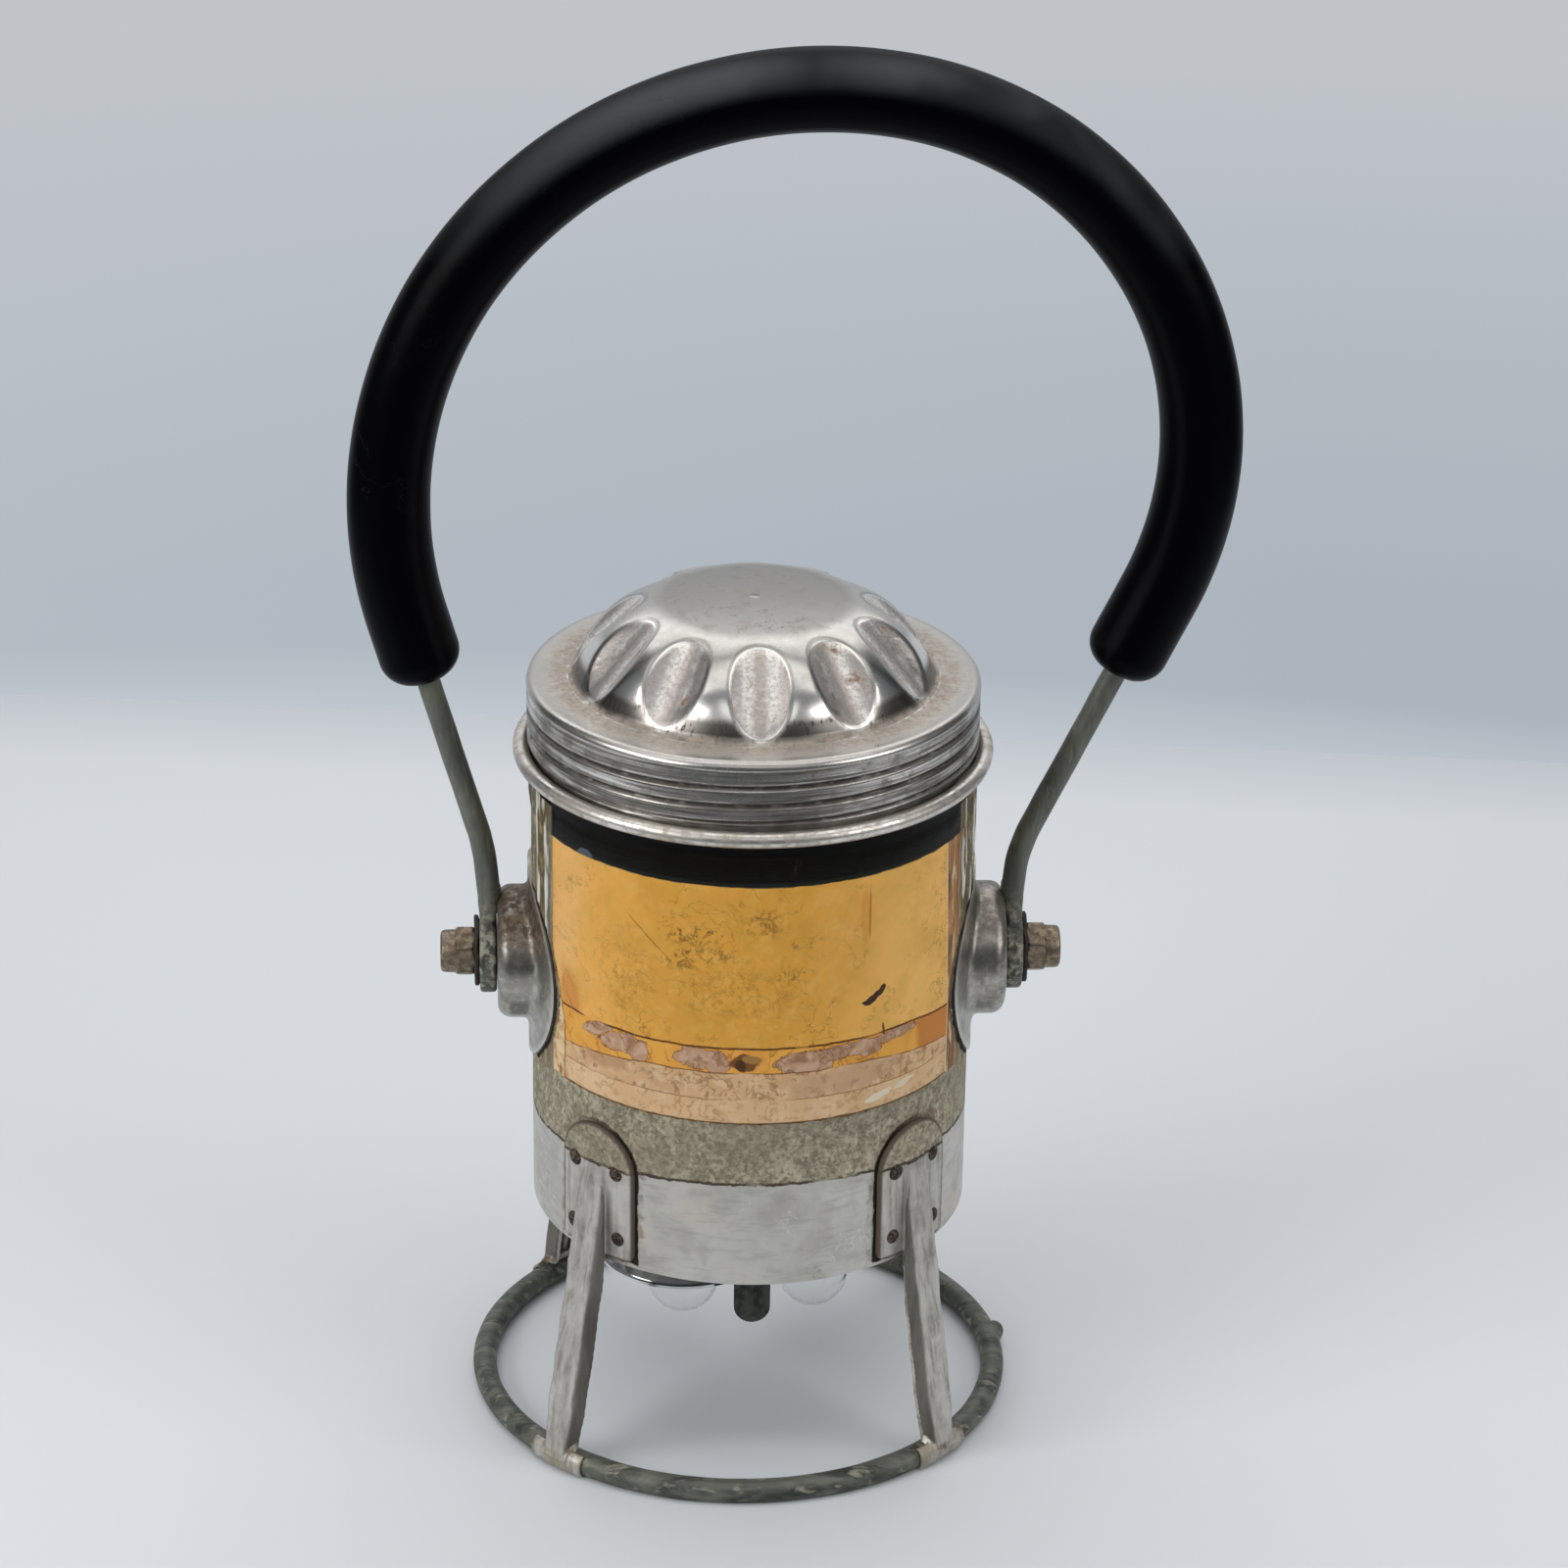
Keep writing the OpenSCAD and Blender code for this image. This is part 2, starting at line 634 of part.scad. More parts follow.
// The straight round tools that press the dimples, grown by t
module dimple_tools(t) {
    mid = [flank_c_r + flank_r * sin(dimple_tilt), flank_c_z + flank_r * cos(dimple_tilt)];
    away = dimple_tool_r - dimple_depth;
    for (k = [0:dimple_count - 1])
        rotate([0, 0, -90 + 360 * k / dimple_count])
            translate([mid[0] + away * sin(dimple_tilt), 0, mid[1] + away * cos(dimple_tilt)])
                rotate([0, 90 + dimple_tilt, 0]) cylinder(r = dimple_tool_r + t, h = 2 * flank_r, center = true);
}

// The cap's shoulder, rim and plain upper skirt as a solid of revolution, drawn inwards by t
module shoulder_shape(t, low) {
    r = rim_r - t;
    rotate_extrude() {
        translate([0, low]) square([cap_r - rim_r, shoulder_z - t - low]);
        translate([0, low]) square([cap_r - t, shoulder_z - rim_r - low]);
        translate([cap_r - rim_r, shoulder_z - rim_r]) circle(r = r);
    }
}

module cap_skirt() {
    rows = [for (k = [0:ceil((thread_top_z + 0.4 - skirt_z) / thread_row)])
        min(thread_top_z + 0.4, skirt_z + k * thread_row)];
    polar = [for (z = rows) for (i = [0:thread_steps - 1]) let (
        a = 360 * i / thread_steps,
        window = ramp(z - skirt_z, 0.8) * ramp(thread_top_z - 0.4 - z, 0.8)
    ) [thread_land_r - thread_depth * groove(z, a) * window, a, z]];
    outer = [for (p = polar) [p[0] * cos(p[1]), p[0] * sin(p[1]), p[2]]];
    inner = [for (p = polar) [(p[0] - skirt_wall) * cos(p[1]), (p[0] - skirt_wall) * sin(p[1]), p[2]]];
    ring_wall(outer, inner, thread_steps);
}

module cap() {
    color(pale_c) {
        difference() {
            union() {
                difference() {
                    dome_shape(0);
                    intersection() {
                        dimple_tools(0);
                        translate([-cap_r, -cap_r, shoulder_z]) cube([cap_d, cap_d, 2 * dome_h]);
                    }
                }
                shoulder_shape(0, thread_top_z);
            }
            difference() {
                dome_shape(cap_wall);
                dimple_tools(cap_wall);
            }
            shoulder_shape(cap_wall, thread_top_z - 1);
        }
        cap_skirt();
    }
}

module cap_gasket() {
    gasket_inset = 1.5;
    color(black_c) tube(cap_r - rim_r, thread_in_r - gasket_inset, neck_top_z + fit, neck_top_z + fit + gasket_t);
}

module spring_seat() {
    boss_r = 4;
    boss_z = crown_c_z + sqrt(pow(crown_curve_r - cap_wall, 2) - pow(boss_r, 2)) - 0.02;
    color(steel_c) {
        disc(seat_r, seat_top_z - seat_t, seat_top_z);
        disc(boss_r, seat_top_z - eps, boss_z);
        tube(seat_r, seat_r - seat_t, seat_top_z - seat_lip, seat_top_z - seat_t + eps);
    }
}

module pressure_spring() {
    path = coil_path(spring_turns, spring_low_r, spring_high_r, spring_low_z, spring_high_z);
    echo(least_gap_of_the_pressure_spring = coil_gap(path, spring_wire));
    color(steel_c) coil(path, spring_wire);
}

module pressure_plate() {
    rib_r = spring_low_r + spring_wire / 2 + 0.5;
    color(brass_c) {
        disc(plate_r, plate_z, plate_top_z);
        tube(rib_r + 1, rib_r, plate_top_z - eps, plate_top_z + spring_wire);
    }
}

// The battery's square section with round corners, drawn inwards by t
module battery_block(t, z0, z1) {
    half = battery_w / 2 - battery_corner;
    full = battery_w - 2 * t;
    translate([0, 0, z0]) linear_extrude(z1 - z0) {
        square([full, 2 * half], center = true);
        square([2 * half, full], center = true);
        for (x = [-half, half]) for (y = [-half, half]) translate([x, y]) circle(r = battery_corner - t);
    }
}

module battery_case() {
    color("darkolivegreen") difference() {
        battery_block(0, battery_z, battery_top_z);
        battery_block(battery_wall, battery_z - 1, battery_top_z - battery_wall);
    }
}

module battery_cells() {
    cell_r = (battery_w / 2 - battery_wall) / 2 - 2 * fit;
    place = cell_r + fit;
    color("gray") for (x = [-place, place]) for (y = [-place, place]) translate([x, y, 0])
        disc(cell_r, battery_z + battery_lid_t + fit, battery_top_z - battery_wall - fit);
}

module battery_lid() {
    color(fibre_c) battery_block(battery_wall + fit, battery_z, battery_z + battery_lid_t);
}

module battery_terminals() {
    low = board_top_z + contact_t + terminal_wire / 2 + fit;
    high = battery_z - terminal_wire / 2 - fit;
    path = coil_path(3, 4.5, 9, low, high);
    echo(least_gap_of_a_terminal_spring = coil_gap(path, terminal_wire));
    color(brass_c) {
        coil(path, terminal_wire);
        rotate([0, 0, 45]) translate([terminal_place_r, 0, 0]) coil(
            coil_path(3, 3, 7, low, high), terminal_wire);
    }
}

module lamp_pan() {
    low = pan_floor_z - pan_wall;
    slot_r = lever_reach;
    slot_half = lever_t / 2 + slot_gap;
    slot_angle = lever_swing + asin((lever_w / 2 + slot_gap) / lever_reach);
    color(aluminium_c) difference() {
        union() {
            tube(pan_r, pan_r - pan_wall, low, low + pan_h);
            disc(pan_r - eps, low, pan_floor_z);
        }
        at_lamps() disc(pan_socket_hole_r, low - 1, pan_floor_z + 1);
        tube_sector(slot_r + slot_half, slot_r - slot_half, low - 1, pan_floor_z + 1,
            -90 - slot_angle, -90 + slot_angle);
        disc(lever_pin_r + fit, low - 1, pan_floor_z + 1);
        board_holes(low - 1, pan_floor_z + 1);
        all_rivet_holes();
    }
}

screw_angles = [90, 210, 330];

module board_holes(z0, z1) {
    for (a = screw_angles) rotate([0, 0, a]) translate([screw_ring_r, 0, 0]) disc(screw_r + fit, z0, z1);
}

module contact_board() {
    color(fibre_c) difference() {
        disc(board_r, board_z, board_top_z);
        board_holes(board_z - 1, board_top_z + 1);
        at_lamps() disc(rivet_r + fit, board_z - 1, board_top_z + 1);
        at_studs() disc(rivet_r + fit, board_z - 1, board_top_z + 1);
    }
}

module centre_contact() {
    color(brass_c) disc(centre_contact_r, board_top_z, board_top_z + contact_t);
}

module ring_contact() {
    color(brass_c) tube(ring_contact_out, ring_contact_in, board_top_z, board_top_z + contact_t);
}

module board_spacers() {
    color(brass_c) for (a = screw_angles) rotate([0, 0, a]) translate([screw_ring_r, 0, 0])
        tube(3, screw_r + fit, pan_floor_z + eps, board_z - eps);
}

module board_screws() {
    head = 1.4;
    low = pan_floor_z - pan_wall - 1.8;
    color(steel_c) for (a = screw_angles) rotate([0, 0, a]) translate([screw_ring_r, 0, 0]) {
        difference() {
            disc(screw_head_r, board_top_z + eps, board_top_z + head);
            translate([-3, -0.4, board_top_z + head - 0.6]) cube([6, 0.8, 1]);
        }
        disc(screw_r, low, board_top_z + 2 * eps);
        translate([0, 0, low]) difference() {
            cylinder(r = 3, h = 1.8 - eps, $fn = 6);
            translate([0, 0, -1]) cylinder(r = screw_r - eps, h = 4);
        }
    }
}

module socket() {
    lip = 0.6;
    color(brass_c) {
        tube(socket_out_r, socket_r, socket_mouth_z, socket_top_z);
        tube(socket_flange_r, socket_r, socket_top_z - 0.6, socket_top_z);
        tube(socket_out_r + lip, socket_r, socket_mouth_z, socket_mouth_z + 1);
    }
}

module socket_left() {
    translate([-lamp_x, lamp_y, 0]) socket();
}

module socket_right() {
    translate([lamp_x, lamp_y, 0]) socket();
}

module socket_insulators() {
    flange = 0.8;
    low = pan_floor_z - pan_wall;
    color(fibre_c) at_lamps() {
        tube(pan_socket_hole_r - fit, insulator_r, low - flange, pan_floor_z + flange);
        tube(pan_socket_hole_r + 2.4, insulator_r, low - flange, low - fit);
    }
}

module socket_contacts() {
    tip_z = left_globe_z + bulb_l + 2 * fit;
    lift = right_globe_z - left_globe_z;
    pad_z = board_z - contact_pad_t;
    color(brass_c) for (s = [-1, 1]) translate([s * lamp_x, lamp_y, 0]) {
        disc(rivet_r, pad_z - 2 * fit, board_top_z + contact_tail);
        disc(contact_pad_r, pad_z, board_z - fit);
        disc(contact_pin_r, tip_z + (s > 0 ? lift : 0), pad_z + eps);
    }
}

// The reflector's curve: a parabola that opens downwards, as a list of radius and height
function dish(r) = reflector_z + reflector_h * (1 - pow(r / reflector_r, 2));

module reflector() {
    hole = socket_out_r + fit + 0.65;
    top = dish(hole);
    steps = 6;
    low_side = [for (k = [0:steps]) let (r = hole + (reflector_r - hole) * k / steps) [r, dish(r)]];
    high_side = [for (k = [steps:-1:0]) let (r = hole + (reflector_r - hole) * k / steps)
        [r, dish(r) + reflector_wall * 1.2]];
    color("silver") translate([-lamp_x, lamp_y, 0]) {
        rotate_extrude() polygon(concat(low_side, high_side));
        tube(hole + reflector_wall, socket_out_r + fit, top - 0.4, top + 3);
        tube(reflector_r + 1, reflector_r - 0.5, reflector_z, reflector_z + reflector_wall);
    }
}

// A bulb with its globe's lowest point at the given height
module bulb_glass(low) {
    mid = low + globe_r;
    neck_top = low + bulb_l - 5;
    color(glass_c) difference() {
        union() {
            translate([0, 0, mid]) sphere(r = globe_r);
            disc(neck_r, mid, neck_top);
        }
        translate([0, 0, mid]) sphere(r = globe_r - glass_wall);
        disc(neck_r - glass_wall, mid, neck_top - 2);
    }
}

module bulb_base(low) {
    tip = low + bulb_l;
    shell_top = tip - 2.6;
    shell_low = shell_top - base_h;
    ridges = 4;
    ridge_r = 0.22;
    color(brass_c) {
        tube(base_r - 0.15, neck_r + fit, shell_low, shell_top);
        for (k = [1:ridges]) translate([0, 0, shell_low + base_h * k / (ridges + 1)])
            rotate_extrude() translate([base_r - ridge_r, 0]) circle(r = ridge_r);
        translate([0, 0, tip - 5 + fit]) cylinder(r = neck_r + 2 * fit, h = 2.4);
        translate([0, 0, shell_top - eps]) cylinder(r1 = base_r - 0.15, r2 = 2.2, h = 1.8);
        disc(1.7, tip - 1, tip);
    }
}

module bulb_filament(low) {
    mid = low + globe_r;
    gap = 1.6;
    top = low + bulb_l - 7 + eps;
    color("dimgray") {
        for (s = [-1, 1]) translate([s * gap, 0, 0]) disc(0.18, mid - 0.5, top);
        translate([0, 0, mid - 0.4]) rotate([0, 90, 0]) cylinder(r = 0.22, h = 2 * gap, center = true);
        translate([0, 0, mid + 5]) rotate([0, 90, 0]) cylinder(r = 0.6, h = 2 * gap + 0.8, center = true);
    }
}

module bulb_left_glass() {
    translate([-lamp_x, lamp_y, 0]) bulb_glass(left_globe_z);
}

module bulb_left_base() {
    translate([-lamp_x, lamp_y, 0]) bulb_base(left_globe_z);
}

module bulb_left_filament() {
    translate([-lamp_x, lamp_y, 0]) bulb_filament(left_globe_z);
}

module bulb_right_glass() {
    translate([lamp_x, lamp_y, 0]) bulb_glass(right_globe_z);
}

module bulb_right_base() {
    translate([lamp_x, lamp_y, 0]) bulb_base(right_globe_z);
}

module bulb_right_filament() {
    translate([lamp_x, lamp_y, 0]) bulb_filament(right_globe_z);
}

module switch_lever() {
    half = lever_w / 2;
    bend_y = -lever_reach - lever_t / 2;
    color(steel_c) difference() {
        union() {
            disc(half, lever_z, lever_z + lever_t);
            translate([-half, bend_y, lever_z]) cube([lever_w, lever_reach + lever_t / 2, lever_t]);
            translate([-half, bend_y, lever_tip_z + half])
                cube([lever_w, lever_t, lever_z + lever_t - lever_tip_z - half]);
            translate([0, bend_y + lever_t, lever_tip_z + half]) rotate([90, 0, 0])
                cylinder(r = half, h = lever_t);
        }
        disc(lever_pin_r + running_fit, lever_z - 1, lever_z + lever_t + 1);
    }
}

module switch_pivot() {
    low = pan_floor_z - pan_wall;
    top = lever_z + lever_t;
    color(steel_c) {
        disc(lever_pin_r, low - pin_head_t, top + 0.7);
        disc(lever_pin_r + 1.6, low - pin_head_t, low - eps);
        disc(lever_pin_r + 1, pan_floor_z + eps, lever_z - 0.1);
        disc(lever_pin_r + 1.1, top + 0.1, top + 0.7);
    }
}

// Places of the switch's three contact studs: left lamp, off and right lamp
module at_studs() {
    for (k = [-1, 1]) rotate([0, 0, -90 + k * lever_swing]) translate([stud_ring_r, 0, 0]) children();
}

module switch_wiper() {
    z = lever_z + lever_t + eps;
    tip_z = board_z - stud_t - 0.1;
    wiper_w = 4.8;
    past_stud = 2;
    from_pin = 5;
    wiper_l = stud_ring_r + past_stud - lever_pin_r - from_pin;
    color(brass_c) {
        translate([-wiper_w / 2, -stud_ring_r - past_stud, z]) cube([wiper_w, wiper_l, wiper_t]);
        translate([0, -stud_ring_r, z]) cylinder(r1 = 1.8, r2 = 0.9, h = tip_z - z);
    }
}

module switch_contacts() {
    color(brass_c) at_studs() {
        disc(2.2, board_z - stud_t, board_z - eps);
        disc(rivet_r, board_z - stud_t, board_top_z + 0.4);
    }
}

// An ear: a round cup standing on a flange that is bent round the body
module ear(side) {
    cup_r = ear_d / 2;
    base_x = body_r - 6;
    color(pale_c) difference() {
        union() {
            intersection() {
                tube(body_r + fit + ear_wall * 0.7, body_r + fit, pivot_z - flange_d, pivot_z + flange_d);
                along_side(side) cylinder(d = flange_d, h = 2 * body_r);
            }
            along_side(side) {
                translate([0, 0, base_x]) cylinder(r = cup_r, h = ear_x - ear_edge_r - base_x);
                translate([0, 0, base_x]) cylinder(r = cup_r - ear_edge_r, h = ear_x - base_x);
                translate([0, 0, ear_x - ear_edge_r]) rotate_extrude()
                    translate([cup_r - ear_edge_r, 0]) circle(r = ear_edge_r);
            }
        }
        along_side(side) {
            cylinder(r = cup_r - ear_wall, h = ear_x - ear_edge_r);
            cylinder(r = cup_r - ear_edge_r, h = ear_x - ear_wall);
            translate([0, 0, ear_x - ear_edge_r]) rotate_extrude()
                translate([cup_r - ear_edge_r, 0]) circle(r = ear_edge_r - ear_wall);
            cylinder(r = bolt_r + fit, h = ear_x + 1);
        }
        disc(body_r + fit, pivot_z - flange_d, pivot_z + flange_d);
    }
}

module ear_left() {
    ear(-1);
}

module ear_right() {
    ear(1);
}

module pivot_bolt(side) {
    head_t = 2.2;
    head_end = ear_x - ear_wall - fit;
    color(nut_c) along_side(side) {
        translate([0, 0, head_end - head_t]) cylinder(r = bolt_r * 2.3, h = head_t);
        translate([0, 0, head_end - head_t]) cylinder(r = bolt_r, h = bolt_end_x - head_end + head_t);
    }
}

module pivot_bolt_left() {
    pivot_bolt(-1);
}

module pivot_bolt_right() {
    pivot_bolt(1);
}

module washer(side) {
    color(black_c) along_side(side) tube(washer_d / 2, bolt_r + fit, washer_x, washer_x + washer_t);
}

module washer_left() {
    washer(-1);
}

module washer_right() {
    washer(1);
}

// A stop nut: a six-sided part with a round collar
module stop_nut(side) {
    color(nut_c) along_side(side) difference() {
        union() {
            translate([0, 0, nut_x]) cylinder(d = nut_flats / cos(30), h = nut_t, $fn = 6);
            translate([0, 0, nut_x]) cylinder(d = collar_d, h = nut_t + collar_h);
        }
        translate([0, 0, nut_x - 1]) cylinder(r = bolt_r + fit, h = nut_t + collar_h + 2);
    }
}

module stop_nut_left() {
    stop_nut(-1);
}

module stop_nut_right() {
    stop_nut(1);
}

// Turns what is drawn along +Z so that it runs from a point in the X-Z plane along a heading
module along_heading(start, heading) {
    translate([start[0], 0, start[1]]) rotate([0, 90 - heading, 0]) children();
}

// Bends a flat outline about a centre, between two angles in the X-Z plane, a little short at each end
module bent(centre, bend, a0, a1) {
    trim = joint_trim / bend * 180 / PI;
    translate([centre[0], 0, centre[1]]) rotate([90, 0, 0]) rotate([0, 0, a0 + trim])
        rotate_extrude(angle = a1 - a0 - 2 * trim, $fn = 180) translate([bend, 0]) children();
}

// A straight piece of wire, a little short at each end
module straight_wire(start, heading, length) {
    along_heading(start, heading) disc(wire_r, joint_trim, length - joint_trim);
}

// A thin ring that closes the joint of two pieces
module path_joint(point, heading, r_out, r_in = 0) {
    along_heading(point, heading) tube(r_out, r_in, -2 * joint_trim, 2 * joint_trim);
}

// Bends a flat outline along the two arcs under the hand
module bent_along_arcs() {
    bent(left_arc_c, left_arc_r, mid_head + 90, left_head + 90) children();
    bent(right_arc_c, right_arc_r, right_head + 90, mid_head + 90) children();
}

module bail_eye(side) {
    neck_h = eye_d / 2 + eye_neck_h;
    wire_low = neck_h - neck_overlap;
    rise = side < 0 ? left_rise : right_rise;
    half_w = wire_r + neck_widening;
    difference() {
        union() {
            along_side(side) translate([0, 0, eye_x]) cylinder(d = eye_d, h = eye_t);
            translate([side > 0 ? eye_x : -eye_x - eye_t, -half_w, pivot_z]) cube([eye_t, 2 * half_w, neck_h]);
            translate([side * shank_x, 0, pivot_z]) disc(wire_r, wire_low, rise - joint_trim);
        }
        along_side(side) translate([0, 0, eye_x - 1]) cylinder(r = bolt_r + running_fit, h = eye_t + 2);
    }
}

module bail_wire() {
    color(steel_c) {
        bail_eye(-1);
        bail_eye(1);
        bent(left_bend_c, shank_bend_r, 0, left_lean) circle(r = wire_r);
        straight_wire(left_bend_end, left_head, left_straight);
        bent_along_arcs() circle(r = wire_r);
        straight_wire(right_arc_end, right_head, right_straight);
        bent(right_bend_c, shank_bend_r, 180 - right_lean, 180) circle(r = wire_r);
        for (j = concat(grip_joints, shank_joints)) path_joint(j[0], j[1], wire_r + wire_lip);
    }
}

// A straight piece of the grip along +Z, with a round far end
module grip_end(length) {
    rotate_extrude() {
        translate([grip_bore_r, joint_trim]) square([grip_r - grip_bore_r, length - joint_trim]);
        intersection() {
            translate([0, length]) circle(r = grip_r);
            translate([grip_bore_r, length]) square([grip_r, grip_r]);
        }
    }
}

module bail_grip() {
    color(black_c) {
        bent_along_arcs() difference() {
            circle(r = grip_r);
            circle(r = grip_bore_r);
        }
        along_heading(left_arc_start, left_head + 180) grip_end(grip_left);
        along_heading(right_arc_end, right_head) grip_end(grip_right);
        for (j = grip_joints) path_joint(j[0], j[1], grip_r + grip_lip, grip_bore_r - grip_lip);
    }
}

// Distance from the body's axis to the ring's wire, in a leg's direction
function foot_reach(angle) = let (along = ring_shift * cos(angle))
    along + sqrt(pow(ring_r, 2) - pow(ring_shift, 2) + pow(along, 2));

module plate_outline() {
    half = leg_plate_w / 2;
    c = 2;
    translate([-half, c]) square([leg_plate_w, leg_plate_h - half - c]);
    translate([c - half, 0]) square([leg_plate_w - 2 * c, leg_plate_h - half]);
    for (s = [-1, 1]) translate([s * (half - c), c]) circle(r = c);
    translate([0, leg_plate_h - half]) circle(r = half);
}

module channel_outline() {
    half = leg_w / 2;
    translate([-leg_wall, leg_wall - half]) square([leg_wall, leg_w - 2 * leg_wall]);
    for (s = [-1, 1]) {
        translate([-leg_wall, s * (half - leg_wall)]) circle(r = leg_wall);
        translate([-leg_depth, s > 0 ? half - leg_wall : -half]) square([leg_depth - leg_wall, leg_wall]);
    }
}

// A leg: plate, channel and foot of one pressed sheet
module leg(angle) {
    reach = foot_reach(angle);
    foot_x = reach + foot_r;
    lean = atan((foot_x - leg_out_r) / (leg_top_z - ring_z));
    length = (leg_top_z + 2 - ring_z) / cos(lean);
    foot_angle = atan2(reach * sin(angle), reach * cos(angle) - ring_shift);
    foot_half = asin(foot_l / 2 / ring_r);
    color(pale_c) difference() {
        union() {
            intersection() {
                tube(leg_out_r, leg_in_r, leg_plate_z - 1, leg_plate_z + leg_plate_h + 1);
                rotate([0, 0, angle]) translate([0, 0, leg_plate_z]) rotate([90, 0, 90])
                    linear_extrude(leg_out_r + 1) plate_outline();
            }
            rotate([0, 0, angle]) translate([foot_x, 0, ring_z]) rotate([0, -lean, 0])
                linear_extrude(length) channel_outline();
            translate([ring_shift, 0, ring_z]) rotate([0, 0, foot_angle - foot_half])
                rotate_extrude(angle = 2 * foot_half) translate([ring_r, 0]) circle(r = foot_r);
        }
        disc(leg_in_r, body_bottom - 0.5, leg_plate_z + leg_plate_h + 2);
        ring_wire(fit);
        translate([-2 * ring_r, -2 * ring_r, -10]) cube([4 * ring_r, 4 * ring_r, 10.3]);
        rivet_holes(angle);
    }
}

module leg_front_left() {
    leg(leg_angles[0]);
}

module leg_front_right() {
    leg(leg_angles[1]);
}

module leg_rear_left() {
    leg(leg_angles[2]);
}

module leg_rear_right() {
    leg(leg_angles[3]);
}

module leg_rivets() {
    head_r = rivet_r * 1.6;
    tail_x = pan_r - pan_wall - 0.7;
    color(steel_c) for (angle = leg_angles) at_rivets(angle) {
        translate([0, 0, tail_x]) cylinder(r = rivet_r, h = leg_out_r + 0.7 - tail_x, $fn = 24);
        translate([0, 0, leg_out_r + fit]) cylinder(r1 = head_r, r2 = head_r * 0.8, h = 0.7, $fn = 24);
        translate([0, 0, tail_x]) cylinder(r = head_r, h = 0.6, $fn = 24);
    }
}

// The ring's wire, grown by t
module ring_wire(t) {
    translate([ring_shift, 0, ring_z]) rotate_extrude() translate([ring_r, 0]) circle(r = ring_wire_r + t);
}

module base_ring() {
    end_angle = 6;
    end_turn = 30;
    color(steel_c) difference() {
        union() {
            ring_wire(0);
            translate([ring_shift, 0, ring_z]) rotate([0, 0, end_angle]) translate([ring_r, 0, 0])
                rotate([-90, 0, -end_turn]) cylinder(r = 0.9 * ring_wire_r, h = ring_end_l);
        }
        translate([-2 * ring_r, -2 * ring_r, -10]) cube([4 * ring_r, 4 * ring_r, 10]);
    }
}

// What the ears' flanges leave free of tape and card
module ear_clearance() {
    for (side = [-1, 1]) along_side(side) cylinder(d = flange_d + 0.6, h = 2 * body_r);
}

// The black tape follows the tube and the start of its flare
module tape_band() {
    in_r = body_r + fit;
    top_r = in_r + (bead_in_r + body_wall - body_r) * max(0, band_top_z - flare_z) / flare_h;
    bend_z = min(flare_z, band_top_z - fit);
    color(black_c) rotate_extrude() polygon([
        [in_r, band_low_z], [in_r + band_t, band_low_z], [in_r + band_t, bend_z],
        [top_r + band_t, band_top_z], [top_r, band_top_z], [in_r, bend_z]
    ]);
}

module label_card() {
    color(card_c) difference() {
        tube_sector(body_r + fit + card_t, body_r + fit, card_z, card_top_z,
            -90 - card_half, -90 + card_half);
        ear_clearance();
    }
}

module clear_tape() {
    top_gap = 0.3;
    color(glass_c) difference() {
        tube_sector(clear_in_r + clear_t, clear_in_r, card_z - clear_low, flare_z - top_gap,
            -90 - clear_half, -90 + clear_half);
        ear_clearance();
    }
}

body_shell();
threaded_neck();
cap();
cap_gasket();
spring_seat();
pressure_spring();
pressure_plate();
battery_case();
battery_cells();
battery_lid();
battery_terminals();
lamp_pan();
contact_board();
centre_contact();
ring_contact();
board_spacers();
board_screws();
socket_left();
socket_right();
socket_insulators();
socket_contacts();
reflector();
bulb_left_glass();
bulb_left_base();
bulb_left_filament();
bulb_right_glass();
bulb_right_base();
bulb_right_filament();
switch_lever();
switch_pivot();
switch_wiper();
switch_contacts();
ear_left();
ear_right();
pivot_bolt_left();
pivot_bolt_right();
washer_left();
washer_right();
stop_nut_left();
stop_nut_right();
bail_wire();
bail_grip();
leg_front_left();
leg_front_right();
leg_rear_left();
leg_rear_right();
leg_rivets();
base_ring();
tape_band();
label_card();
clear_tape();
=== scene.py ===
"""An electric railroad lantern: the detailed pieces, finishes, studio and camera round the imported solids."""

import math

import bmesh
import bpy
import numpy as np
from mathutils import Matrix, Vector, noise


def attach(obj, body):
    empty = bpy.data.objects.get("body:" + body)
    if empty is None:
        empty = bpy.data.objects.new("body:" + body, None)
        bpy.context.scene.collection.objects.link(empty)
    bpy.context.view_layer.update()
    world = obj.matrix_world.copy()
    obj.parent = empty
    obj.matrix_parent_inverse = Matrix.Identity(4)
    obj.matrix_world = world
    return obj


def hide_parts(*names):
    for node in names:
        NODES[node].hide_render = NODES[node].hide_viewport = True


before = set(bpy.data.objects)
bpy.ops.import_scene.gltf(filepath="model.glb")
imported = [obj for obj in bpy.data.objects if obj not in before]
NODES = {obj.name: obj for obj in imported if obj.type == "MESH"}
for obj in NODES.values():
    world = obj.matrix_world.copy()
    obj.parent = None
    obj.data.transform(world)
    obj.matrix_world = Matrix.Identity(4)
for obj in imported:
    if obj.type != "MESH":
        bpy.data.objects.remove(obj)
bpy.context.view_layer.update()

MM = 0.001
noise.seed_set(5)

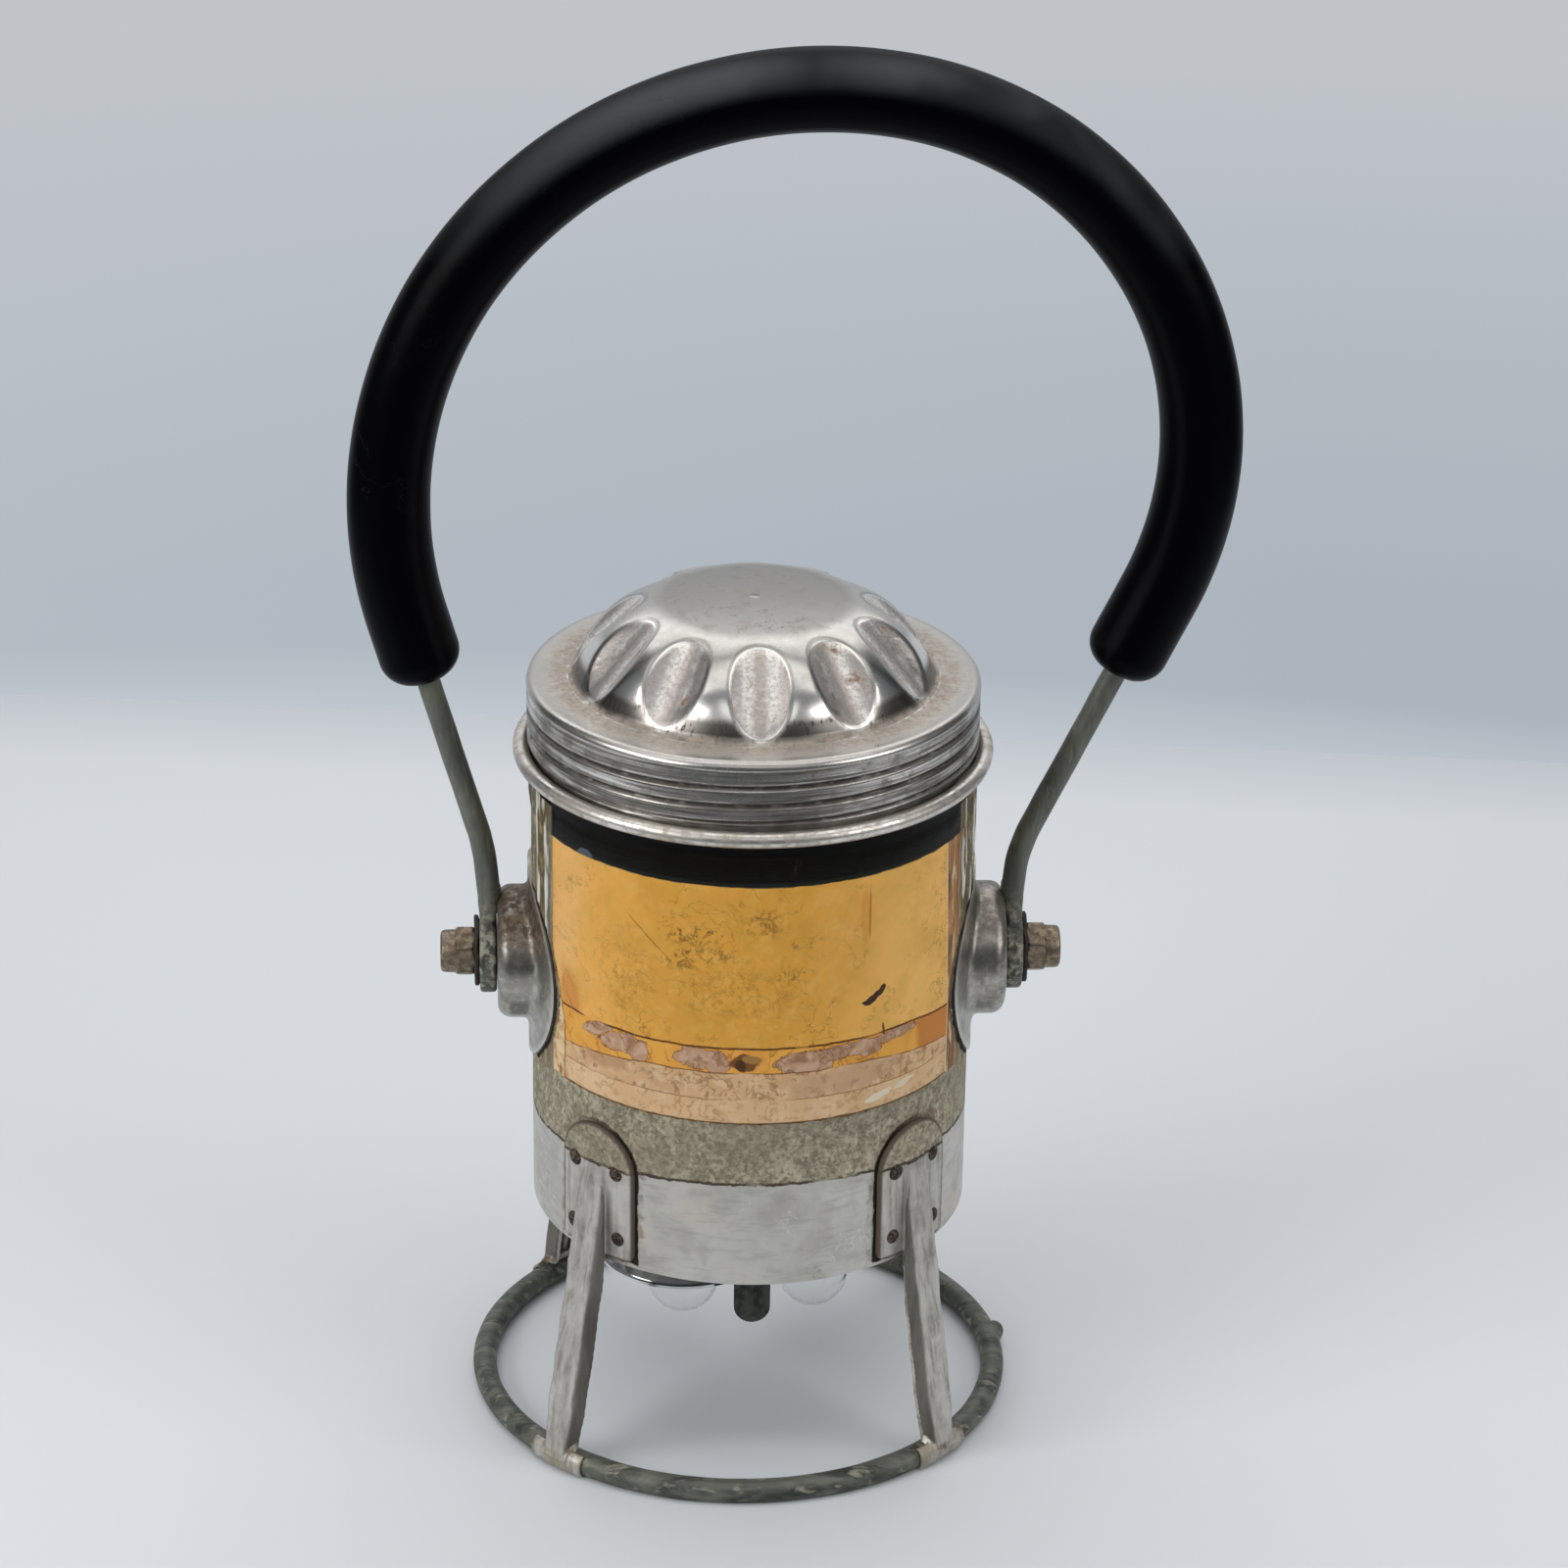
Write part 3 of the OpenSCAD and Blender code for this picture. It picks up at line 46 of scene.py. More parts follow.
# Sizes in millimetres; most are the solids' own
BODY_R = 47.5
BODY_WALL = 0.8
BODY_LOW = 47.8
BEAD_Z = 153.2
BEAD_R = 1.75
BEAD_CENTRE_R = 49.55
CAP_R = 48.35
CAP_WALL = 0.6
SKIRT_Z = 155.6
SHOULDER_Z = 169.65
SHOULDER_IN_R = 37.2
CROWN_Z = 187.25
CROWN_EDGE_R = 19.2
CROWN_CURVE = 200.0
FLANK_CURVE = 22.0
RIM_CURVE = 1.6
DIMPLES = 11
DIMPLE_TOOL = 10.8
DIMPLE_DEPTH = 2.55
DIMPLE_TILT = math.radians(46)
PITCH = 4.0
GROOVE_Z = 164.05
GROOVE_DEPTH = 0.8
GROOVE_W = 1.7
PIVOT_Z = 104.5
WIRE_R = 2.5
GRIP_R = 8.7
RING_R = 57.1
RING_WIRE = 2.6
RING_SHIFT = -1.7
RING_Z = 2.4
FLARE = 4.4
LAMP_X = 14.4
LAMP_Y = -3.0
FLANGE_R = 22.3
NECK_SHIFT = 1.1
EYE_X = 56.95
EYE_HALF = 1.8
EYE_R = 9.0
LEG_ANGLES = {"front_left": -135, "front_right": -45, "rear_left": 135, "rear_right": 45}

# The flat map round the body, the leg plates' outline and the adhesive's lower edge, for the finishes
MAP_R = 47.8
PLATE_MAP_R = 48.0
PLATE_ARCH_Z = 69.65
PLATE_ARCH_R = 10.25
PLATE_LOW = 20.35
GLUE_EDGE_Z = 71.9


# Meshes


def grid_faces(rows, cols, wrap_cols=True, wrap_rows=False):
    """Four-sided faces of a grid of points that is stored row by row."""
    faces = []
    for j in range(rows if wrap_rows else rows - 1):
        for i in range(cols if wrap_cols else cols - 1):
            k = (i + 1) % cols
            low, high = j * cols, (j + 1) % rows * cols
            faces.append((low + i, low + k, high + k, high + i))
    return faces


def link(name, data):
    """An object of a mesh, a lamp or a camera, in the scene."""
    obj = bpy.data.objects.new(name, data)
    bpy.context.collection.objects.link(obj)
    return obj


def add_masks(mesh, masks, kind="FLOAT", field="value"):
    """Named values for every point of a mesh."""
    for key, values in masks.items():
        layer = mesh.attributes.new(key, kind, "POINT")
        layer.data.foreach_set(field, np.asarray(values, np.float32).ravel())


def new_object(name, points, faces, edges=()):
    """An object from points in millimetres."""
    mesh = bpy.data.meshes.new(name)
    mesh.from_pydata((np.asarray(points, float) * MM).tolist(), edges, faces)
    return link(name, mesh)


def read_points(mesh):
    """A mesh's points, in millimetres."""
    points = np.empty(len(mesh.vertices) * 3)
    mesh.vertices.foreach_get("co", points)
    return points.reshape(-1, 3) / MM


def write_points(mesh, points):
    """Puts points in millimetres back into a mesh."""
    mesh.vertices.foreach_set("co", (points * MM).ravel())


def tidy(obj, gap=1e-6):
    """Merges doubled points and turns every face outwards."""
    shape = bmesh.new()
    shape.from_mesh(obj.data)
    bmesh.ops.remove_doubles(shape, verts=shape.verts, dist=gap)
    bmesh.ops.dissolve_degenerate(shape, edges=shape.edges, dist=gap * 0.1)
    bmesh.ops.recalc_face_normals(shape, faces=shape.faces)
    shape.to_mesh(obj.data)
    shape.free()
    return obj


def apply_modifiers(obj):
    """Turns what the modifiers make into the object's own mesh."""
    graph = bpy.context.evaluated_depsgraph_get()
    graph.update()
    mesh = bpy.data.meshes.new_from_object(obj.evaluated_get(graph))
    obj.modifiers.clear()
    obj.data = mesh


def thicken(obj, way, wall, offset=-1):
    """Turns an open sheet's faces mostly along a direction, and gives it its wall."""
    if sum(face.normal.dot(way) * face.area for face in obj.data.polygons) < 0:
        obj.data.flip_normals()
    solid = obj.modifiers.new("wall", "SOLIDIFY")
    solid.thickness = wall * MM
    solid.offset = offset
    apply_modifiers(obj)


def smooth(obj, angle=None):
    """Smooth shading, with edges sharper than an angle in degrees kept."""
    obj.data.shade_smooth()
    if angle is not None:
        obj.data.set_sharp_from_angle(angle=math.radians(angle))


def place(obj, body, slot, material, *nodes):
    """Gives a finished piece its material, and says what it rides on and stands for."""
    if material is not None:
        obj.data.materials.clear()
        obj.data.materials.append(material)
    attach(obj, body)
    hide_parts(*nodes)


def around(steps):
    """Angles of a full turn."""
    return np.linspace(0, 2 * math.pi, steps, endpoint=False)


def lathe(name, profile, steps=240, closed=False):
    """Turns a profile of (radius, height) pairs round Z. A closed profile makes a ring."""
    profile = np.asarray(profile, float)
    turn = around(steps)
    r, z = profile[:, :1], profile[:, 1:2]
    points = np.stack([r * np.cos(turn), r * np.sin(turn), z + 0 * turn], -1).reshape(-1, 3)
    return tidy(new_object(name, points, grid_faces(len(profile), steps, True, closed)))


def onto_pivot(obj, side, out=0.0):
    """Turns a lathed object's axis from Z to the pivot's axis, on one side of the body."""
    turn = Matrix.Rotation(math.radians(90 * side), 4, "Y")
    obj.data.transform(Matrix.Translation(Vector((side * out, 0, PIVOT_Z)) * MM) @ turn)
    return obj


def sheet_profile(line, wall):
    """A closed outline of a sheet whose middle follows a line of (radius, height) pairs."""
    line = np.asarray(line, float)
    along = np.gradient(line, axis=0)
    along /= np.linalg.norm(along, axis=1)[:, None]
    side = np.stack([along[:, 1], -along[:, 0]], -1) * wall / 2
    return np.concatenate([line + side, (line - side)[::-1]])


def arc(cx, cy, r, a0, a1, count):
    """Points of an arc; angles in degrees."""
    a = np.radians(np.linspace(a0, a1, count))
    return np.stack([cx + r * np.cos(a), cy + r * np.sin(a)], -1)


def line(a, b, count):
    """Points from one place to another."""
    return np.linspace(a, b, count)


def wobble(points, scale, amount, seed=0.0):
    """Smooth random moves, in millimetres, for points in millimetres."""
    start = Vector((seed, seed * 1.7, seed * 0.3))
    return amount * np.array([noise.noise_vector(Vector(p) * scale + start) for p in points])


def ripple(angles, scale, at):
    """Smooth random values round a circle."""
    return np.array([noise.noise(Vector((math.cos(a) * scale, math.sin(a) * scale, at))) for a in angles])


def copy_of_node(name, node):
    """A merged copy of a solid's mesh as a new object."""
    source = NODES[node]
    obj = link(name, source.data.copy())
    obj.data.transform(source.matrix_world)
    return tidy(obj, 2e-6)


# Shaders


def rgb(code):
    """A colour from its hex code, as linear light."""
    out = []
    for k in (0, 2, 4):
        c = int(code[k : k + 2], 16) / 255
        out.append(c / 12.92 if c <= 0.04045 else ((c + 0.055) / 1.055) ** 2.4)
    return (*out, 1.0)


class Graph:
    """Adds nodes to a node tree and links them."""

    def __init__(self, tree):
        self.tree = tree

    def add(self, kind, inputs=None, out=0, **settings):
        """Makes a node; a kind without a family is a shader node."""
        made = self.tree.nodes.new(kind if "Node" in kind else "ShaderNode" + kind)
        for key, value in settings.items():
            setattr(made, key, value)
        for key, value in (inputs or {}).items():
            self.put(made.inputs[key], value)
        return made.outputs[out]

    def put(self, socket, value):
        """Gives an input a number, or links it to another node's output."""
        if isinstance(value, bpy.types.NodeSocket):
            self.tree.links.new(value, socket)
        else:
            socket.default_value = value

    def math(self, operation, a, b=0.0):
        """One step of arithmetic."""
        return self.add("Math", {0: a, 1: b}, operation=operation)

    def plus(self, a, b):
        """Sum."""
        return self.math("ADD", a, b)

    def minus(self, a, b):
        """Difference."""
        return self.math("SUBTRACT", a, b)

    def size_of(self, value):
        """A value without its sign."""
        return self.math("ABSOLUTE", value)

    def times(self, *values):
        """Product of any number of factors."""
        out = values[0]
        for value in values[1:]:
            out = self.math("MULTIPLY", out, value)
        return out

    def length(self, a, b):
        """Length of the long side of a right-angled triangle."""
        return self.math("SQRT", self.plus(self.times(a, a), self.times(b, b)))

    def parts(self, vector, count=3):
        """The first numbers of a vector."""
        return [self.add("SeparateXYZ", {0: vector}, out=k) for k in range(count)]

    def span(self, value, low, high, out_low=0.0, out_high=1.0):
        """Maps one range of a value to another, and stays within it."""
        return self.add("MapRange", {0: value, 1: low, 2: high, 3: out_low, 4: out_high})

    def band(self, value, low, high, soft):
        """1 where a value lies between two limits, with soft edges."""
        rise = self.span(value, low - soft, low + soft)
        fall = self.span(value, high + soft, high - soft)
        return self.times(rise, fall)

    def mix(self, mask, a, b):
        """Colour a, or b where the mask is 1."""
        return self.add("Mix", {0: mask, 6: a, 7: b}, out=2, data_type="RGBA")

    def mix_value(self, mask, a, b):
        """Number a, or b where the mask is 1."""
        return self.add("Mix", {0: mask, 2: a, 3: b}, data_type="FLOAT")

    def noise(self, at, scale, detail=3.0, rough=0.55, twist=0.0):
        """Smooth noise about 0.5."""
        inputs = {"Vector": at, "Scale": scale, "Detail": detail, "Roughness": rough, "Distortion": twist}
        return self.add("TexNoise", inputs)

    def drawn(self, at, *scale):
        """Coordinates for an effect that is drawn out along an axis."""
        return self.add("Mapping", {"Vector": at, "Scale": scale})


def node_group(name, build, outputs, **inputs):
    """A node group with named inputs and outputs, built by a function."""
    geometry = outputs.get("Geometry")
    tree = bpy.data.node_groups.new(name, "GeometryNodeTree" if geometry else "ShaderNodeTree")
    for way, sockets in (("INPUT", inputs), ("OUTPUT", outputs)):
        for key, kind in sockets.items():
            tree.interface.new_socket(key, in_out=way, socket_type="NodeSocket" + kind)
    start = tree.nodes.new("NodeGroupInput").outputs
    end = tree.nodes.new("NodeGroupOutput").inputs
    for key, socket in build(Graph(tree), start).items():
        tree.links.new(socket, end[key])
    return tree


def build_blotches(g, start):
    """Soft patches that cover about the given share of a surface."""
    value = g.noise(start["Vector"], start["Scale"], 4.0, 0.6, 0.3)
    edge = g.minus(0.72, g.times(start["Cover"], 0.44))
    soft = start["Softness"]
    return {"Mask": g.span(value, g.minus(edge, soft), g.plus(edge, soft))}


def build_specks(g, start):
    """Small scattered dots, one in some of the cells."""
    cells = {"Vector": start["Vector"], "Scale": start["Scale"]}
    away, tint = (g.add("TexVoronoi", cells, out=k) for k in range(2))
    chance = g.add("SeparateColor", {0: tint})
    size = g.times(start["Size"], g.plus(0.35, chance))
    dot = g.span(g.minus(size, away), 0.0, 0.08)
    return {"Mask": g.times(dot, g.math("LESS_THAN", chance, start["Cover"]))}


def build_scratches(g, start):
    """Thin wandering lines that come and go."""
    value = g.noise(start["Vector"], start["Scale"], 5.0, 0.6, 0.5)
    thin = g.span(g.size_of(g.minus(value, 0.5)), start["Width"], 0.0)
    gate = g.noise(start["Vector"], g.times(start["Scale"], 0.55), 2.0, 0.5)
    gate = g.minus(gate, g.minus(0.72, g.times(start["Cover"], 0.44)))
    return {"Mask": g.times(thin, g.span(gate, 0.0, 0.06))}


def build_unrolled(g, start):
    """Metres round the front of the body and metres up, on a flat map."""
    x, y, z = g.parts(start["Vector"])
    turn = g.math("ARCTAN2", x, g.times(y, -1.0))
    return {"Flat": g.add("CombineXYZ", {0: g.times(turn, MAP_R * MM), 1: z})}


def build_spot(g, start):
    """A ragged oval at a place on the flat map, 1 inside it."""
    off = g.add("VectorMath", {0: start["Vector"], 1: start["Centre"]}, operation="SUBTRACT")
    off = g.add("VectorRotate", {"Vector": off, "Angle": start["Turn"]}, rotation_type="Z_AXIS")
    off = g.add("VectorMath", {0: off, 1: start["Size"]}, operation="DIVIDE")
    reach = g.add("VectorMath", {0: off}, out=1, operation="LENGTH")
    rag = g.noise(start["Vector"], start["Scale"], 5.0, 0.62)
    reach = g.plus(reach, g.times(g.minus(rag, 0.5), start["Rag"]))
    soft = start["Softness"]
    return {"Mask": g.span(reach, g.plus(1.0, soft), g.minus(1.0, soft))}


def build_plate(g, start):
    """Distance from the nearest leg plate's outline, in millimetres; less than 0 inside it."""
    x, y, z = g.parts(start["Vector"])
    turn = g.size_of(g.math("ARCTAN2", x, g.times(y, -1.0)))
    side = g.times(g.minus(g.size_of(g.minus(turn, math.pi / 2)), math.pi / 4), PLATE_MAP_R)
    up = g.minus(g.math("DIVIDE", z, MM), PLATE_ARCH_Z)
    round_top = g.minus(g.length(side, g.math("MAXIMUM", up, 0.0)), PLATE_ARCH_R)
    return {"Distance": g.math("MAXIMUM", round_top, g.minus(-PLATE_LOW, up)), "Side": side}


def build_glue(g, start):
    """How far a point is above the ragged lower edge of the old adhesive, in millimetres."""
    flat = start["Flat"]
    u, v = g.parts(flat, 2)
    edge = g.plus(GLUE_EDGE_Z, g.times(g.size_of(u), -30.0))
    waves = g.minus(g.noise(flat, 90, 2.0, 0.5), 0.5)
    fine = g.minus(g.noise(flat, 700, 4.0, 0.65), 0.5)
    rag = g.plus(g.times(waves, 1.6), g.times(fine, 1.3))
    return {"Above": g.plus(g.minus(g.math("DIVIDE", v, MM), edge), rag)}


MASK = {"Mask": "Float"}
MARKS = {"Vector": "Vector", "Scale": "Float"}
UNROLLED = node_group("unrolled_front", build_unrolled, {"Flat": "Vector"}, Vector="Vector")
PLATE = node_group("leg_plate_distance", build_plate, {"Distance": "Float", "Side": "Float"}, Vector="Vector")
GLUE = node_group("adhesive_edge", build_glue, {"Above": "Float"}, Flat="Vector")
BLOTCHES = node_group("soft_blotches", build_blotches, MASK, **MARKS, Cover="Float", Softness="Float")
SPECKS = node_group("small_specks", build_specks, MASK, **MARKS, Size="Float", Cover="Float")
SCRATCHES = node_group("thin_scratches", build_scratches, MASK, **MARKS, Width="Float", Cover="Float")
OVAL = {"Centre": "Vector", "Size": "Vector", "Turn": "Float", "Rag": "Float", "Softness": "Float"}
SPOT = node_group("ragged_spot", build_spot, MASK, **MARKS, **OVAL)


class Surface:
    """A material built in coats: each coat covers what is under it where its mask is 1."""

    def __init__(self, name, color, rough, metal=0.0, **fixed):
        self.material = bpy.data.materials.new(name)
        self.material.use_nodes = True
        self.g = Graph(self.material.node_tree)
        self.shader = self.material.node_tree.nodes["Principled BSDF"]
        self.at = self.g.add("TexCoord", out=3)
        self.color, self.rough, self.metal, self.normal = rgb(color), rough, metal, None
        for key, value in fixed.items():
            self.shader.inputs[key.replace("_", " ")].default_value = value

    def effect(self, tree, *values, out=0):
        """A node group's output, with values for its inputs in their order."""
        made = self.g.tree.nodes.new("ShaderNodeGroup")
        made.node_tree = tree
        for socket, value in zip(made.inputs, values):
            self.g.put(socket, value)
        return made.outputs[out]

    def unrolled(self):
        """The flat map round the body, in metres."""
        return self.effect(UNROLLED, self.at)

    def spot(self, u, v, half_u, half_v, turn=0.0, rag=0.6, scale=300.0, softness=0.06):
        """A ragged oval at (u, v) millimetres on the unrolled front, turned by degrees."""
        centre, size = (u * MM, v * MM, 0), (half_u * MM, half_v * MM, 1)
        return self.effect(SPOT, self.at, scale, centre, size, -math.radians(turn), rag, softness)

    def blotches(self, scale, cover, softness, at=None):
        """Soft patches over about a share of the surface."""
        return self.effect(BLOTCHES, at or self.at, scale, cover, softness)

    def specks(self, scale, size, cover, at=None):
        """Small dots in a share of the cells."""
        return self.effect(SPECKS, at or self.at, scale, size, cover)

    def scratches(self, scale, width, cover, at=None):
        """Thin wandering lines."""
        return self.effect(SCRATCHES, at or self.at, scale, width, cover)

    def mask(self, name):
        """A mask that the mesh carries."""
        return self.g.add("Attribute", out=2, attribute_name=name)

    def axis(self, k):
        """One of the object's own coordinates."""
        return self.g.add("SeparateXYZ", {0: self.at}, out=k)

    def coat(self, mask, color, rough, metal=None):
        """One coat; a mask may be several factors, and what is None stays as it was."""
        if isinstance(mask, tuple):
            mask = self.g.times(*mask)
        self.color = self.g.mix(mask, self.color, rgb(color))
        self.rough = self.g.mix_value(mask, self.rough, rough)
        if metal is not None:
            self.metal = self.g.mix_value(mask, self.metal, metal)

    def layers(self, within, rows, at=None):
        """Coats of scattered marks inside a mask. A row is the marks' group, its scale and two more settings,
        the coat's share, and the coat's colour, roughness and metal."""
        for tree, scale, second, third, share, *finish in rows:
            marks = self.effect(tree, at or self.at, scale, second, third)
            self.coat((within, marks, share), *finish)

    def ovals(self, within, rows):
        """Coats of ragged ovals in a mask. A row is the coat's share, colour and roughness, then the oval."""
        for share, color, rough, *oval in rows:
            self.coat((within, self.spot(*oval), share), color, rough)

    def bump(self, height, distance, strength):
        """Relief of a height map, its depth in millimetres."""
        inputs = {"Height": height, "Distance": distance * MM, "Strength": strength}
        if self.normal is not None:
            inputs["Normal"] = self.normal
        self.normal = self.g.add("Bump", inputs)

    def done(self):
        """The finished material."""
        self.g.put(self.shader.inputs["Base Color"], self.color)
        self.g.put(self.shader.inputs["Roughness"], self.rough)
        self.g.put(self.shader.inputs["Metallic"], self.metal)
        if self.normal is not None:
            self.g.put(self.shader.inputs["Normal"], self.normal)
        return self.material


# Finishes


def cap_dome(s, deep):
    """The crown coloured darker as painted shade, painted highlights on the ridges between the dimples, and
    painted shade and streaks at the dome's foot between them.
    """
    g = s.g
    crown = s.mask("crown")
    # Painted shade: the crown's metal coloured darker so that its reflection reads darker
    s.coat((crown, 0.75), "918e89", 0.3)
    s.layers(crown, (
        (BLOTCHES, 75, 0.5, 0.1, 0.7, "96928b", 0.38), (BLOTCHES, 230, 0.3, 0.06, 0.6, "857b72", 0.45, 0.8),
        (SPECKS, 620, 0.2, 0.3, 1, "5f564e", 0.6, 0.4),
        (SCRATCHES, 36, 0.0035, 0.5, 0.8, "5d564f", 0.5, 0.6),
    ))
    streaks = g.noise(g.drawn(s.at, 1, 1, 0.07), 900, 4.0, 0.65)
    steep = s.mask("steep")
    foot = g.span(steep, 0.68, 0.82)
    between = g.span(deep, -0.35, -0.7)
    # Painted highlight: a near-white coat on the ridges between the dimples, at mid-height
    s.coat((g.band(steep, 0.1, 0.68, 0.12), between, 0.8), "f6f4f1", 0.2)
    # Painted shade: a darker band at the dome's foot between the dimples, under the streaks
    s.coat((foot, between, 0.9), "65625d", 0.3)
    s.coat((foot, g.span(streaks, 0.46, 0.6), 0.6), "76726c", 0.34)
    s.coat((foot, g.span(streaks, 0.56, 0.62)), "4a433d", 0.5, 0.6)


def cap_dimples(s, deep):
    """The brushed dimples with their pits and brown patches, painted reflections across their hollows, painted
    shade just outside their edges and painted highlights on their rims. Gives their inside.
    """
    g = s.g
    inside = g.span(deep, 0.05, 0.4)
    drawn = g.drawn(s.at, 1, 1, 0.3)
    across = g.size_of(s.mask("across"))
    s.coat(inside, "f0eae6", 0.25)
    s.coat((inside, s.blotches(430, 0.5, 0.14, drawn), 0.6), "cfc5be", 0.34, 0.9)
    # Painted reflections: each dimple darker down its middle and at its sides, with pale bands between, as a
    # hollow mirrors its surroundings
    s.coat((inside, g.span(across, 1.6, 0.6), 0.45), "b3a89f", 0.4, 0.9)
    s.coat((inside, g.span(across, 3.8, 5.2), 0.5), "b8b0ac", 0.3, 0.9)
    pale = g.times(inside, g.band(across, 1.7, 3.4, 0.8), s.blotches(260, 0.66, 0.14, drawn))
    s.coat((pale, 0.8), "fffdf8", 0.42, 0.7)
    s.layers(inside, (
        (BLOTCHES, 1300, 0.4, 0.08, 0.6, "a6998f", 0.42, 0.8),
        (SPECKS, 1500, 0.34, 0.3, 0.8, "efe8e3", 0.4, 0.8),
        (SPECKS, 1100, 0.24, 0.22, 1, "675a51", 0.6, 0.4),
        (BLOTCHES, 210, 0.22, 0.06, 1, "937b69", 0.6, 0.5),
    ))
    # Painted shade: a darker line just outside each dimple's edge, where the sheet bends in
    s.coat((g.band(deep, -0.6, -0.25, 0.16), s.blotches(90, 0.7, 0.15), 0.6), "6b655f", 0.35)
    # Painted highlight: a bright line along each dimple's rim
    s.coat((g.band(deep, -0.02, 0.16, 0.08), 0.9), "f4f2ef", 0.2, 1.0)
    return inside


def cap_rim(s):
    """The dirty shoulder and the rubbed rings of the threaded skirt. Gives the dirt."""
    g = s.g
    dirt = s.mask("dirt")
    s.layers(dirt, (
        (BLOTCHES, 330, 0.7, 0.16, 1, "b1a598", 0.65, 0.35),
        (BLOTCHES, 1100, 0.4, 0.1, 0.6, "8f8376", 0.7, 0.3),
        (SPECKS, 1500, 0.34, 0.4, 1, "cfc4b4", 0.8, 0.2), (SPECKS, 900, 0.26, 0.3, 1, "54453a", 0.8, 0.0),
    ))
    skirt = s.mask("skirt")
    rings = g.noise(g.drawn(s.at, 0.04, 0.04, 1.4), 1000, 4.0, 0.65)
    s.coat((skirt, 0.3), "918d87", 0.26)
    s.coat((skirt, g.span(rings, 0.47, 0.58), 0.85), "6d6963", 0.34)
    s.coat((skirt, g.span(rings, 0.42, 0.35), 0.8), "ebe8e4", 0.2)
    s.coat((skirt, s.blotches(240, 0.3, 0.08), 0.7), "716a62", 0.5, 0.7)
    s.coat((s.mask("groove"), g.span(g.noise(s.at, 300), 0.2, 0.5)), "2f2a26", 0.6, 0.3)
    return dirt


def cap_finish():
    """Satin aluminium: grainy dimples with painted highlights on their lips and painted reflections inside, a
    dirty shoulder and dirty thread grooves.
    """
    s = Surface("cap_aluminium", "c4c1bc", 0.24, 1.0)
    g = s.g
    s.layers(1.0, (
        (BLOTCHES, 60, 0.5, 0.16, 1, "bab7b1", 0.3), (BLOTCHES, 420, 0.45, 0.1, 0.35, "a8a29b", 0.38),
    ))
    deep = s.mask("deep")
    cap_dome(s, deep)
    inside = cap_dimples(s, deep)
    dirt = cap_rim(s)
    s.coat(s.specks(420, 0.12, 0.1), "4a433d", 0.6, 0.4)
    s.bump(g.noise(s.at, 900, 3.0), 0.02, 0.35)
    s.bump(g.times(inside, g.noise(s.at, 800, 3.0)), 0.12, 0.5)
    s.bump(g.times(dirt, g.noise(s.at, 1400, 3.0)), 0.14, 0.7)
    return s.done()


def old_glue(s, flat):
    """The sandy band of old adhesive, with a dark edge below it."""
    g = s.g
    above = s.effect(GLUE, flat)
    glue = g.span(above, -0.12, 0.12)
    s.coat(glue, "a49c86", 0.8, 0.0)
    s.layers(glue, (
        (BLOTCHES, 110, 0.45, 0.16, 0.8, "b5ac93", 0.85), (BLOTCHES, 330, 0.46, 0.07, 0.7, "827a66", 0.8),
        (BLOTCHES, 520, 0.4, 0.06, 0.85, "c3baa3", 0.85), (BLOTCHES, 900, 0.4, 0.06, 0.8, "756d5a", 0.8),
        (SPECKS, 1300, 0.32, 0.3, 1, "d5cdb8", 0.85), (SCRATCHES, 150, 0.02, 0.6, 0.7, "675d48", 0.85),
        (BLOTCHES, 50, 0.3, 0.12, 0.55, "7f7863", 0.7),
    ))
    low = g.band(above, -0.05, 0.6, 0.12)
    s.coat((low, g.span(g.noise(s.at, 200), 0.34, 0.48)), "43382a", 0.7, 0.0)
    s.bump(g.times(glue, g.noise(s.at, 520, 5.0, 0.65)), 0.5, 0.9)


def body_finish():
    """Dull aluminium with a band of old adhesive, stains and dark lines round the leg plates."""
    s = Surface("body_aluminium", "d2cfc9", 0.34, 0.85)
    g = s.g
    s.layers(1.0, (
        (BLOTCHES, 45, 0.5, 0.2, 1, "c2bfb9", 0.4), (BLOTCHES, 160, 0.34, 0.12, 0.5, "aaa59d", 0.48, 0.8),
        (BLOTCHES, 75, 0.26, 0.07, 0.6, "d8cdbf", 0.6, 0.5),
    ))
    s.coat((g.span(g.noise(g.drawn(s.at, 1, 1, 5), 160, 3.0), 0.5, 0.7), 0.35), "99958f", 0.4)
    s.layers(1.0, (
        (SCRATCHES, 42, 0.006, 0.45, 0.5, "8b857d", 0.5), (SCRATCHES, 90, 0.012, 0.4, 0.5, "efece7", 0.4),
        (SPECKS, 330, 0.13, 0.2, 1, "6c655e", 0.7, 0.3), (SPECKS, 520, 0.16, 0.12, 1, "a5805a", 0.7, 0.1),
    ))
    old_glue(s, s.unrolled())
    near = s.effect(PLATE, s.at)
    side = s.effect(PLATE, s.at, out=1)
    rag = g.plus(near, g.span(g.noise(s.at, 500, 3.0), 0.3, 0.7, -0.25, 0.25))
    inner = g.span(side, -4.0, 6.0, 0.25, 1.0)
    s.coat((g.band(rag, -1.0, 0.7, 0.15), inner), "1d130c", 0.8, 0.0)
    s.coat((g.band(rag, 0.8, 2.2, 0.6), s.blotches(300, 0.4, 0.08), 0.7), "7d6650", 0.8, 0.0)
    s.bump(g.noise(s.at, 500, 3.0), 0.02, 0.3)
    return s.done()


def marked_finish(name, color, rough, metal, rows, grain, detail, depth, strength):
    """A finish of scattered marks alone, over a fine relief."""
    s = Surface(name, color, rough, metal)
    s.layers(1.0, rows)
    s.bump(s.g.noise(s.at, grain, detail), depth, strength)
    return s.done()


